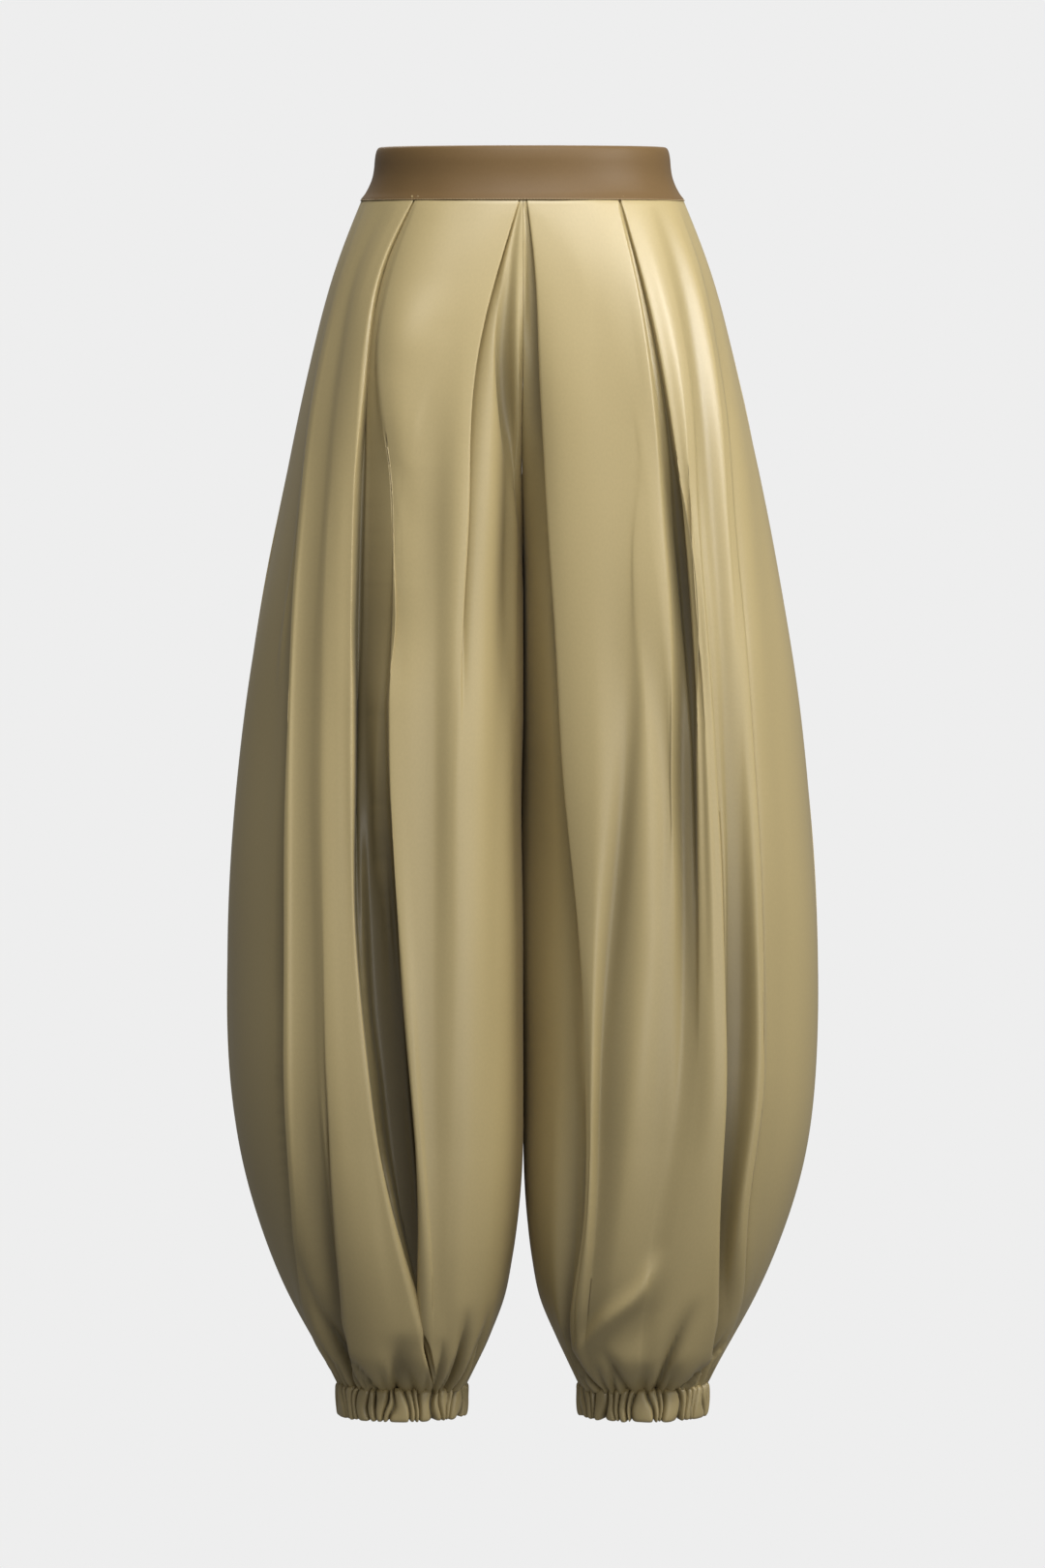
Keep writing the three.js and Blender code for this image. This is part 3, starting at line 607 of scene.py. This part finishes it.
def leg_panel(name, folds, side, facing, inner_roundness, creases, gathers, seed):
    """One front or back panel of a leg, from its tuck in the waistband to its tuck in the cuff."""
    drops = np.linspace(0, LEG_DROP, int(LEG_DROP / ROW_STEP) + 1)
    points, angles, raised = cloth_rows(folds, facing, inner_roundness, drops)
    rings = Rings(drops, facing, inner_roundness)
    fine = rings.start + (math.pi - rings.start) * np.linspace(0, 1, FINE_POINTS)[None, :]
    plain = rings.point(fine)
    fine_arcs = added_up(np.linalg.norm(np.diff(plain, axis=1), axis=-1))
    arcs = np.stack([np.interp(a, f, s) for a, f, s in zip(angles, fine, fine_arcs)])

    def arc_at(x, here):
        placed = rings.angle_at(np.interp(drops, drops[here], x)[:, None])[here, 0]
        rows = zip(placed, fine[here], fine_arcs[here])
        return np.array([np.interp(a, f, s) for a, f, s in rows])

    turns = (angles - rings.start) / (math.pi - rings.start)
    out = relief(creases, drops, arcs, arc_at)
    out += hem_gathers(gathers, drops, turns)
    out += waves(arcs[:, -1:] - arcs, drops, seed)
    puff = evened(column(HEM_PUFF, 1)(drops), drops[1] - drops[0], HEM_SMOOTHING)
    out += puff[:, None] * np.sin(angles) ** 2
    # How deep each point lies in the folds, kept on the mesh for the painted shade.
    deep = hollows(arcs, raised + out)
    edge = smoothstep(0, SEAM_CALM, arcs) * smoothstep(0, SEAM_CALM, arcs[:, -1:] - arcs)
    plainly = smoothstep(ROUND_FROM, HELD_FROM, drops)[:, None, None]
    normal = out_from(np.gradient(points, axis=1), facing) * (1 - plainly)
    normal += rings.outward(angles) * plainly
    normal /= np.linalg.norm(normal, axis=-1, keepdims=True)
    points = points + normal * (out * (SEAM_RELIEF + (1 - SEAM_RELIEF) * edge))[..., None]

    # The tucks into the waistband and the cuff, and the allowances turned in at both sides.
    top = [points[0] - normal[0] * inside for _, inside in TOP_TUCK]
    foot = [points[-1] - normal[-1] * inside for _, inside in FOOT_TUCK]
    points = np.concatenate([top, points, foot])
    above = [-SEAM_TUCK * share for share, _ in TOP_TUCK]
    below = [LEG_DROP + SEAM_TUCK * share for share, _ in FOOT_TUCK]
    drops = np.concatenate([above, drops, below])
    inward = np.array([0, -facing])
    middle = [points[:, 0] + inward * inset for inset in ALLOWANCE_STEPS]
    outside = np.array([-1.0, 0])
    lifted = np.array([0, facing * SEAM_LIFT])
    far = [
        points[:, -1] + outside * inset + lifted * (inset > 1) for inset in ALLOWANCE_STEPS[::-1]
    ]
    points = np.concatenate([np.stack(middle, axis=1), points, np.stack(far, axis=1)], axis=1)

    across = added_up(np.linalg.norm(np.diff(points, axis=1), axis=-1))
    across -= across[:, -1:] / 2
    placed = place_rows(points, drops, side, facing)
    turned = side * facing > 0
    mesh = grid_mesh(name, placed, turned, across * MM, drops[:, None] * MM)
    added = ((len(TOP_TUCK), len(FOOT_TUCK)), (len(ALLOWANCE_STEPS), len(ALLOWANCE_STEPS)))
    mark_painted_shade(mesh, np.pad(deep, added, mode="edge"))
    piece = add_piece(f"{name}_cloth", mesh, leg_satin, [name])
    solid = piece.modifiers.new("cloth", "SOLIDIFY")
    solid.thickness = CLOTH * MM
    solid.offset = -1
    solid.use_even_offset = False


# The waistband's profile from its top fold to the seam: z, half width, front and back depths.
BAND_PROFILE = np.array([
    (20.9, 110.6, 83.2, 84.7),
    (20.6, 112.4, 84.8, 86.3),
    (19.2, 114.0, 86.2, 87.7),
    (16.0, 115.2, 87.2, 88.7),
    (11, 116.0, 88.0, 89.5),
    (5, 116.5, 88.4, 89.9),
    (-2, 117.6, 89.2, 90.7),
    (-9, 120.0, 90.8, 92.3),
    (-15.5, 123.4, 93.1, 94.8),
    (-20.0, 126.7, 95.7, 97.7),
    (-21.2, 127.2, 96.2, 98.2),
])
BAND_INSIDE = 2.4  # how far the inner layer lies inside the outer one
BAND_TOP_GAP = 0.2  # least depth of the inner layer under the top fold
BAND_TOP_TURN = 0.5  # how far its edge turns down there
BAND_POINTS = 121
BAND_ROWS = 37
BAND_SWELL = 0.0025  # how uneven it is towards its seam, as a share of its size
BAND_SWELL_FROM = (8, -18)  # heights between which that begins

# The waistband's swells: height, how many in a full turn, and shift.
BAND_WAVES = ((0.5, 11, 1.3), (0.4, 19, -0.7))

STITCH_PITCH = 2.4
STITCH_LENGTH = 1.8
STITCH_RADIUS = 0.34
STITCH_SIDES = 6
STITCH_RISE = 0.5  # how far a stitch arches, in radii
STITCH_HEIGHT = 0.2  # of the stitches over the waist seam

# A stitch's thickness along it: share of its length, share of its radius.
STITCH_RINGS = ((0, 0.25), (0.12, 0.85), (0.5, 1), (0.88, 0.85), (1, 0.25))

# The line of the waist stitches: half its width, and its depth in front and behind.
STITCH_LINE = (127.0, 96.0, 98.0)


def finer(profile, columns, count):
    """Some columns of a profile's table, as smooth rows from its first to its last."""
    at = np.arange(len(profile)) / (len(profile) - 1)
    return np.stack([curve(at, profile[:, i])(np.linspace(0, 1, count)) for i in columns], axis=1)


def band_ring(half_width, depth, facing, angles):
    x = -power(np.cos(angles), 2 / ROUNDNESS) * half_width
    y = facing * np.maximum(np.sin(angles), 0) ** (2 / ROUNDNESS) * depth
    return np.stack([x, y], axis=-1)


def closed_tube(name, points, turned, caps):
    """A closed mesh of a loop of points carried along: stations by loop points."""
    stations, around = points.shape[:2]
    index = np.arange(stations * around).reshape(stations, around)
    ahead = np.roll(index, -1, axis=1)
    if caps:
        a, b, c, d = index[:-1], index[1:], ahead[1:], ahead[:-1]
    else:
        a, b = index, np.roll(index, -1, axis=0)
        c, d = np.roll(ahead, -1, axis=0), ahead
    quads = np.stack([a, b, c, d] if turned else [a, d, c, b], axis=-1).reshape(-1, 4).tolist()
    if caps:
        ends = [index[0].tolist(), index[-1][::-1].tolist()]
        quads += ends if not turned else [end[::-1] for end in ends]
    mesh = smooth_mesh(name, points.reshape(-1, 3).tolist(), quads)
    along = np.linalg.norm(np.diff(points, axis=0, append=points[:1]), axis=-1).mean(axis=1)
    over = np.linalg.norm(np.diff(points, axis=1, append=points[:, :1]), axis=-1).mean(axis=0)
    u = np.concatenate([[0], np.cumsum(along[:-1])])[:, None]
    v = np.concatenate([[0], np.cumsum(over[:-1])])[None, :]
    lay_flat(mesh, u, v)
    return mesh


def band_half(name, facing):
    angles = np.linspace(0, math.pi, BAND_POINTS)
    profile = finer(BAND_PROFILE, (0, 1, 2 if facing < 0 else 3), BAND_ROWS)
    inside = profile[::-1] - np.array([0, BAND_INSIDE, BAND_INSIDE])
    inside[-1, 0] -= BAND_TOP_TURN
    inside[:, 0] = np.minimum(inside[:, 0], profile[0, 0] - BAND_TOP_GAP)
    swell = sum(height * np.sin(often * angles + shift) for height, often, shift in BAND_WAVES)
    loop = []
    for z, half_width, depth in np.concatenate([profile, inside]):
        ring = band_ring(half_width, depth, facing, angles)
        low = smoothstep(*BAND_SWELL_FROM, z)
        ring *= (1 + BAND_SWELL * swell * low)[:, None]
        ring[:, 1] = facing * np.maximum(facing * ring[:, 1], SEAM_GAP / 2)
        loop.append(np.column_stack([ring, z + tilt_at(np.zeros(BAND_POINTS)) * ring[:, 1]]))
    points = np.stack(loop, axis=1) * MM
    mesh = closed_tube(name, points, facing > 0, caps=True)
    piece = add_piece(f"{name}_cloth", mesh, band_satin, [name])


def stitch_ring(name, path, material):
    """Rounded stitches as one mesh, along a closed path of points in the frame and ways out."""
    closed = np.array([p for p, _ in path + path[:1]])
    closed_outs = np.array([o for _, o in path + path[:1]])
    gaps = np.linalg.norm(np.diff(closed, axis=0), axis=1)
    along_path = np.concatenate([[0], np.cumsum(gaps)])
    count = int(along_path[-1] / (STITCH_PITCH * MM))
    places = np.arange(count) * along_path[-1] / count
    radius = STITCH_RADIUS * MM

    def vectors(values, at):
        columns = [np.interp(at, along_path, values[:, i]) for i in range(3)]
        return [Vector(value) for value in np.stack(columns, axis=1)]

    outward = [out.normalized() for out in vectors(closed_outs, places)]
    starts, ends = vectors(closed, places), vectors(closed, places + STITCH_LENGTH * MM)
    verts, faces = [], []
    for start, end, out in zip(starts, ends, outward):
        along = (end - start).normalized()
        side = along.cross(out).normalized()
        first = len(verts)
        for share, size in STITCH_RINGS:
            arch = out * radius * (STITCH_RISE * math.sin(math.pi * share))
            centre = start.lerp(end, share) + arch
            for k in range(STITCH_SIDES):
                turn = 2 * math.pi * k / STITCH_SIDES
                spoke = out * math.sin(turn) + side * math.cos(turn)
                verts.append(centre + spoke * radius * size)
        last = first + (len(STITCH_RINGS) - 1) * STITCH_SIDES
        for ring in range(first, last, STITCH_SIDES):
            for k in range(STITCH_SIDES):
                a, b = ring + k, ring + (k + 1) % STITCH_SIDES
                faces.append((a, b, b + STITCH_SIDES, a + STITCH_SIDES))
        faces.append([first + k for k in reversed(range(STITCH_SIDES))])
        faces.append([last + k for k in range(STITCH_SIDES)])
    add_piece(name, smooth_mesh(name, verts, faces), material)


# The cuff's profile from its seam down: drop under the seam, and what is added to its half width.
CUFF_PROFILE = np.array([
    (-1.5, -3.5), (-0.3, -1.4), (1.2, 0.2), (4, 0.9), (12, 0.8), (19, 0.3), (22.8, -0.6), (24, -2),
])
CUFF_INSIDE = 4.6  # how far the inner layer lies inside the outer one
CUFF_TOP_TURN = -0.5  # highest drop of the inner layer
CUFF_FOOT_GAP = 1.0  # how far its foot stays above the hem
CUFF_ROWS = 25
CUFF_COLUMNS = 12  # points across a puff
CUFF_SLANT = 0.3  # how far a crease may run askew, as a share of a puff
CUFF_SWAY = 0.03  # how far the creases sway, in radians
CUFF_SWAY_DROP = 6  # how quickly that changes going down
CUFF_LEAN = 0.003  # how far they lean, in radians for each millimetre down
PUFF_FULL = 2.2  # how full a puff is between its gathers
PUFF_ROUND = 1.25  # how narrow the gathers are
PUFF_LEVEL = 0.85  # the share of a puff's height that lies on the profile
PUFF_DEPTH = (5.8, 0.6)  # from a puff to its gathers, on the outer and the inner layer
PUFF_BY_WIDTH = (0.55, 0.5)  # height of a puff, and how much more for a wide one
PUFF_BY_TURN = (0.85, 0.25, 2.3)  # mean height, how much it varies, and how often
CUFF_HEM = (14, 2.2, 0.6)  # drop it begins at, how far puffs hang there, share that stays level
CUFF_SEAM = (5, 0.9, 0.5)  # drop it ends at, how far puffs rise there, share that stays level
CUFF_PAINTED_SHADE = (0.9, 1.1)  # painted shade in a gather, and how much less on a full puff

# How wide the puffs between the cuff's gathers are, one after the other, as shares of the mean.
CUFF_PUFFS = (
    1.0, 0.6, 1.35, 0.5, 0.9, 1.6, 0.55, 0.8, 1.25, 0.5, 1.5, 0.7, 0.6, 1.2, 0.5, 1.4, 0.85, 0.5,
    1.6, 0.65, 1.05, 0.55, 1.4, 0.6, 0.8, 1.2, 0.5, 1.5, 0.7, 1.0, 0.55, 1.3, 0.5, 1.6, 0.75, 0.6,
    1.25, 0.9, 0.5, 1.45, 0.65, 1.1,
)


def cuff(name, side, seed):
    """A gathered casing of two layers, puffed between the gathers; the elastic inside it isn't
    drawn.
    """
    puffs = np.roll(np.array(CUFF_PUFFS), int(7 * seed))
    edges = np.concatenate([[0], np.cumsum(puffs)]) / puffs.sum()
    count = len(puffs) * CUFF_COLUMNS
    turn = 2 * math.pi * np.arange(count) / count
    tilt = tilt_at(np.full(count, float(LEG_DROP)))

    slants = CUFF_SLANT / len(puffs) * np.sin(2.7 * np.arange(len(puffs) + 1) + seed)
    slants[0] = slants[-1] = 0

    def phase_at(turned, down):
        wraps, share = np.divmod(turned / (2 * math.pi), 1)
        slanted = edges + slants * (down / CUFF_HEIGHT - 0.5)
        return wraps * len(puffs) + np.interp(share, slanted, np.arange(len(puffs) + 1))

    profile = finer(CUFF_PROFILE, (0, 1), CUFF_ROWS)
    back = profile[::-1].copy()
    back[:, 1] = np.minimum(back[:, 1], 0) - CUFF_INSIDE
    back[:, 0] = np.clip(back[:, 0], CUFF_TOP_TURN, CUFF_HEIGHT - CUFF_FOOT_GAP)
    least, by_width = PUFF_BY_WIDTH
    mean, by_turn, often = PUFF_BY_TURN
    hem_from, hem_hang, hem_level = CUFF_HEM
    seam_to, seam_rise, seam_level = CUFF_SEAM
    shade, less = CUFF_PAINTED_SHADE
    loop, painted_shade_loop = [], []
    for layer, rows in enumerate((profile, back)):
        for down, grow in rows:
            sway = CUFF_SWAY * np.sin(down / CUFF_SWAY_DROP + 5 * turn + seed)
            lean = CUFF_LEAN * down * np.sin(11 * turn + seed)
            local = phase_at(turn + (sway + lean), down)
            ridge = np.floor(local).astype(int) % len(puffs)
            puff = np.tanh(PUFF_FULL * np.abs(np.sin(math.pi * local)) ** PUFF_ROUND)
            varied_by = mean + by_turn * np.sin(often * ridge + down / CUFF_SWAY_DROP)
            uneven = (least + by_width * puffs[ridge]) * varied_by
            ring = grow + PUFF_DEPTH[layer] * uneven * (puff - PUFF_LEVEL)
            x = CUFF_CENTRE + np.cos(turn) * (CUFF_WIDTH / 2 + ring)
            y = np.sin(turn) * (CUFF_DEPTH / 2 + ring)
            hem = smoothstep(hem_from, CUFF_HEIGHT, down)
            seam = 1 - smoothstep(0, seam_to, down)
            z = WAIST_SEAM_Z - LEG_DROP - down + tilt * y
            z = z - hem_hang * hem * uneven * (puff - hem_level)
            z = z + seam_rise * seam * (puff - seam_level)
            loop.append(np.column_stack([side * x, y, z]))
            # Painted shade in the gathers of the outer layer, kept on the mesh for the satin.
            painted_shade_loop.append((1 - layer) * np.clip(shade - less * puff, 0, 1))
    points = np.stack(loop, axis=1) * MM
    mesh = closed_tube(name, points, side < 0, caps=False)
    mark_painted_shade(mesh, np.stack(painted_shade_loop, axis=1))
    piece = add_piece(f"{name}_cloth", mesh, leg_satin, [name])


# How far the cloth puffs out over the cuff in front and behind: drop, and how far.
HEM_PUFF = np.array([
    (LEG_DROP - 190, 0), (LEG_DROP - 120, 2), (LEG_DROP - 70, 5.5), (LEG_DROP - 36, 10),
    (LEG_DROP - 16, 12.5), (LEG_DROP - 6, 10.5), (LEG_DROP, 2),
])

# Gathers drawn up by the cuff: share round the panel from the middle, length, depth, width
# and lean.
FRONT_RIGHT_GATHERS = (
    (0.06, 22, 3, 0.014, 0.1), (0.13, 40, 5, 0.016, 0.15), (0.23, 30, 5, 0.014, 0),
    (0.305, 40, 7, 0.02, 0.06), (0.35, 18, 3, 0.011, 0), (0.392, 26, 4, 0.012, 0.05),
    (0.435, 14, 3, 0.010, 0), (0.475, 18, 4, 0.011, 0.1), (0.52, 28, 6, 0.016, -0.05),
    (0.565, 14, 3, 0.010, 0), (0.61, 22, 4.5, 0.012, 0.25), (0.65, 16, 3, 0.010, 0.2),
    (0.70, 12, 3, 0.012, 0), (0.76, 70, 5, 0.022, -0.02), (0.82, 16, 3.5, 0.012, 0),
    (0.875, 26, 4, 0.014, -0.1), (0.935, 16, 3, 0.014, 0),
)
FRONT_LEFT_GATHERS = (
    (0.05, 18, 3, 0.014, 0), (0.11, 26, 4, 0.014, 0.1), (0.205, 18, 3.5, 0.012, 0.1),
    (0.30, 30, 5.5, 0.014, -0.3), (0.35, 14, 3, 0.010, 0), (0.395, 16, 3.5, 0.010, 0.1),
    (0.455, 22, 4.5, 0.012, -0.2), (0.50, 14, 3, 0.010, 0), (0.55, 44, 6, 0.017, 0.08),
    (0.60, 14, 3, 0.010, 0), (0.665, 28, 5.5, 0.013, 0.65), (0.72, 14, 3, 0.011, 0),
    (0.775, 20, 4.5, 0.013, 0.2), (0.83, 30, 4, 0.013, 0), (0.885, 16, 3, 0.012, 0),
    (0.94, 18, 3, 0.014, 0),
)
BACK_GATHERS = (
    (0.06, 24, 3, 0.014, 0.03), (0.12, 44, 6, 0.018, 0.03), (0.18, 16, 3, 0.011, 0),
    (0.24, 30, 4.5, 0.013, 0.1), (0.30, 18, 3.5, 0.011, -0.1), (0.36, 54, 7, 0.022, 0.04),
    (0.43, 20, 4, 0.012, -0.1), (0.49, 36, 5.5, 0.016, 0.08), (0.545, 14, 3, 0.010, 0),
    (0.60, 48, 6, 0.019, -0.05), (0.66, 20, 4, 0.012, 0.12), (0.72, 28, 5, 0.014, -0.12),
    (0.79, 58, 6, 0.020, -0.04), (0.86, 18, 3.5, 0.012, 0), (0.93, 30, 4, 0.015, -0.05),
)

# Creases and swells laid into the cloth: depth, half width, share of its length that it takes to
# fade, and path as drop and distance from the middle. A ridge's depth is negative.
FRONT_RIGHT_CREASES = (
    (8, 6, 0.5, [(50, 15), (100, 14.5), (146, 11.5), (200, 6), (290, 1.5)]),
    (6, 24, 0.3, [(150, 96), (215, 98), (300, 102), (400, 104)]),
    (-2.5, 26, 0.5, [(60, 84), (110, 92), (170, 96)]),
    (-2.5, 16, 0.5, [(130, 96), (190, 92), (260, 88)]),
    (-2, 4, 0.3, [(195, 170), (270, 178), (330, 190), (395, 201)]),
    (3, 15, 0.5, [(150, 60), (260, 70), (380, 72)]),
)
FRONT_LEFT_CREASES = (
    (7, 8, 0.5, [(190, 118), (300, 127), (370, 133), (450, 137)]),
    (4, 7, 0.5, [(330, 88), (400, 83), (500, 76), (590, 68), (700, 57)]),
    (5.5, 10, 0.5, [(300, 100), (380, 106), (470, 110), (600, 106)]),
    (-8, 7, 0.5, [(812, 106), (846, 89), (870, 68), (895, 50), (912, 44)]),
    (2, 9, 0.5, [(850, 104), (880, 88), (912, 72)]),
    (-2.5, 14, 0.5, [(60, 150), (200, 168), (360, 186), (470, 200)]),
)
BACK_CREASES = (
    (3, 14, 0.5, [(120, 60), (260, 66), (420, 70)]),
    (4, 9, 0.5, [(330, 150), (460, 166), (620, 170)]),
    (3.5, 10, 0.5, [(420, 36), (560, 44), (700, 50)]),
    (-3, 10, 0.5, [(790, 110), (850, 84), (900, 64)]),
)

# The satin's grain, as repeats in a metre across the cloth and down it.
STREAKS = (620, 330, 1)
CLOUDS = (9, 5, 1)
WEAVE = (2600, 1500, 1)
CLOUD_SHADE = 0.03
SHEEN = 0.05
SHEEN_ROUGHNESS = 0.4
WEAVE_STRENGTH = 0.12
WEAVE_DEPTH = 0.0002


def satin(name, colour, roughness, gloss, grain):
    """Satin: soft broad highlights, a faint sheen, a fine grain along the warp, and shade painted
    into its colour deep in the folds.
    """
    material = bpy.data.materials.new(name)
    material.use_nodes = True
    nodes, links = material.node_tree.nodes, material.node_tree.links
    shader = nodes["Principled BSDF"]
    shader.inputs["Roughness"].default_value = roughness
    shader.inputs["Specular IOR Level"].default_value = gloss
    shader.inputs["Sheen Weight"].default_value = SHEEN
    shader.inputs["Sheen Roughness"].default_value = SHEEN_ROUGHNESS
    flat = nodes.new("ShaderNodeUVMap")
    flat.uv_map = "cloth"

    def noise(scale, detail):
        stretch = nodes.new("ShaderNodeMapping")
        stretch.inputs["Scale"].default_value = scale
        texture = nodes.new("ShaderNodeTexNoise")
        texture.inputs["Scale"].default_value = 1
        texture.inputs["Detail"].default_value = detail
        links.new(flat.outputs["UV"], stretch.inputs["Vector"])
        links.new(stretch.outputs["Vector"], texture.inputs["Vector"])
        return texture.outputs["Fac"]

    def shaded(factor, low, high):
        ramp = nodes.new("ShaderNodeMapRange")
        ramp.inputs["To Min"].default_value = low
        ramp.inputs["To Max"].default_value = high
        links.new(factor, ramp.inputs["Value"])
        return ramp.outputs["Result"]

    def product(one, other):
        both = nodes.new("ShaderNodeMath")
        both.operation = "MULTIPLY"
        links.new(one, both.inputs[0])
        links.new(other, both.inputs[1])
        return both.outputs["Value"]

    streaks = shaded(noise(STREAKS, 3), 1 - grain, 1 + grain)
    clouds = shaded(noise(CLOUDS, 2), 1 - CLOUD_SHADE, 1 + CLOUD_SHADE)
    # Painted shade: the base colour is darkened by the mark that each mesh keeps of how deep its
    # folds and gathers lie.
    painted_shade = nodes.new("ShaderNodeAttribute")
    painted_shade.attribute_name = "painted_shade"
    painted_fold_shade = shaded(painted_shade.outputs["Fac"], 1, 1 - PAINTED_FOLD_SHADE)
    shade = product(product(streaks, clouds), painted_fold_shade)
    tint = nodes.new("ShaderNodeMix")
    tint.data_type = "RGBA"
    tint.blend_type = "MULTIPLY"
    tint.inputs["Factor"].default_value = 1
    tint.inputs["A"].default_value = (*colour, 1)
    links.new(shade, tint.inputs["B"])
    links.new(tint.outputs["Result"], shader.inputs["Base Color"])

    weave = noise(WEAVE, 1)
    bump = nodes.new("ShaderNodeBump")
    bump.inputs["Strength"].default_value = WEAVE_STRENGTH
    bump.inputs["Distance"].default_value = WEAVE_DEPTH
    links.new(weave, bump.inputs["Height"])
    links.new(bump.outputs["Normal"], shader.inputs["Normal"])
    return material


leg_satin = satin("leg_satin", (0.47, 0.37, 0.172), 0.43, 0.85, 0.06)
band_satin = satin("waistband_satin", (0.165, 0.1, 0.04), 0.5, 0.22, 0.07)
band_thread = satin("band_thread", (0.42, 0.31, 0.17), 0.45, 0.4, 0.0)

leg_panel(
    "front_right", RIGHT_FRONT_FOLDS, -1, -1, roundness["right"],
    FRONT_RIGHT_CREASES, FRONT_RIGHT_GATHERS, 0.4,
)
leg_panel(
    "front_left", LEFT_FRONT_FOLDS, 1, -1, roundness["left"],
    FRONT_LEFT_CREASES, FRONT_LEFT_GATHERS, 1.9,
)
leg_panel(
    "back_right", BACK_FOLDS, -1, 1, roundness["back"],
    BACK_CREASES, BACK_GATHERS, 3.1,
)
leg_panel(
    "back_left", varied(BACK_FOLDS, 0.965, 0.85), 1, 1, roundness["back"],
    BACK_CREASES, BACK_GATHERS, 4.7,
)
cuff("cuff_right", -1, 0.9)
cuff("cuff_left", 1, 2.3)
band_half("waistband_front", -1)
band_half("waistband_back", 1)

seam_path = []
line_half, line_front, line_back = STITCH_LINE
line_depth = (line_front + line_back) / 2
for turn in np.linspace(0, 2 * math.pi, 361)[:-1]:
    facing = -1 if turn < math.pi else 1
    depth = line_front if facing < 0 else line_back
    ring = band_ring(line_half, depth, facing, np.array([turn % math.pi]))[0]
    ring = ring if facing < 0 else -ring * np.array([1, -1])
    out = Vector((ring[0] / line_half ** 2, ring[1] / line_depth ** 2, 0)).normalized()
    height = WAIST_SEAM_Z + STITCH_HEIGHT + float(tilt_at(0.0)) * ring[1]
    seam_path.append((np.array([ring[0], ring[1], height]) * MM, np.array(out)))
stitch_ring("waist_stitches", seam_path, band_thread)

# A plain pale backdrop, soft lights, and the camera where the photograph was taken from.
BACKDROP = 0.855
AMBIENT = 0.17  # how much of the backdrop's light the cloth gets
FLOOR_REACH = 8
FLOOR_Z = -1.07

world = bpy.data.worlds.new("studio")
bpy.context.scene.world = world
world.use_nodes = True
world_nodes, world_links = world.node_tree.nodes, world.node_tree.links
seen = world_nodes["Background"]
seen.inputs["Color"].default_value = (BACKDROP, BACKDROP, BACKDROP, 1)
felt = world_nodes.new("ShaderNodeBackground")
felt.inputs["Color"].default_value = (1, 1, 1, 1)
felt.inputs["Strength"].default_value = AMBIENT
path_kind = world_nodes.new("ShaderNodeLightPath")
either = world_nodes.new("ShaderNodeMixShader")
world_links.new(path_kind.outputs["Is Camera Ray"], either.inputs["Fac"])
world_links.new(felt.outputs["Background"], either.inputs[1])
world_links.new(seen.outputs["Background"], either.inputs[2])
world_links.new(either.outputs["Shader"], world_nodes["World Output"].inputs["Surface"])

floor_mesh = bpy.data.meshes.new("floor")
corners = [(-1, -1), (1, -1), (1, 1), (-1, 1)]
floor_points = [(x * FLOOR_REACH, y * FLOOR_REACH, FLOOR_Z) for x, y in corners]
floor_mesh.from_pydata(floor_points, [], [(0, 1, 2, 3)])
floor = linked("floor", floor_mesh)
paper = bpy.data.materials.new("paper")
paper.use_nodes = True
paper_nodes = paper.node_tree.nodes
paper_nodes.remove(paper_nodes["Principled BSDF"])
glow = paper_nodes.new("ShaderNodeEmission")
glow.inputs["Color"].default_value = (BACKDROP, BACKDROP, BACKDROP, 1)
paper_surface = paper_nodes["Material Output"].inputs["Surface"]
paper.node_tree.links.new(glow.outputs["Emission"], paper_surface)
floor_mesh.materials.append(paper)
floor.visible_diffuse = False
floor.visible_glossy = False
floor.visible_shadow = False


def area_light(name, place, aim, size, watts):
    lamp = bpy.data.lights.new(name, "AREA")
    lamp.shape = "RECTANGLE"
    lamp.size, lamp.size_y = size
    lamp.energy = watts
    light = linked(name, lamp)
    light.location = place
    light.rotation_euler = (Vector(aim) - Vector(place)).to_track_quat("-Z", "Y").to_euler()


area_light("top", (0.2, -1.6, 1.7), (0, 0, -0.2), (1.6, 1.0), 48)
area_light("high", (1.6, -1.15, 0.8), (0, 0, -0.2), (0.6, 0.9), 26)
area_light("side", (2.2, -0.9, 1.4), (0, 0, 0), (0.4, 0.8), 13)
area_light("front", (1.3, -2.6, -0.7), (0, 0, -0.8), (1.2, 1.0), 9)
area_light("back", (-0.3, 2.0, 2.0), (0, 0, -0.4), (1.6, 1.6), 44)

camera_data = bpy.data.cameras.new("camera")
camera_data.lens = 146.2
camera_data.sensor_width = 36
camera = linked("camera", camera_data)
camera.location = (0, -5, -0.479)
camera.rotation_euler = (math.pi / 2, 0, 0)
bpy.context.scene.camera = camera
bpy.context.scene.view_settings.view_transform = "Standard"
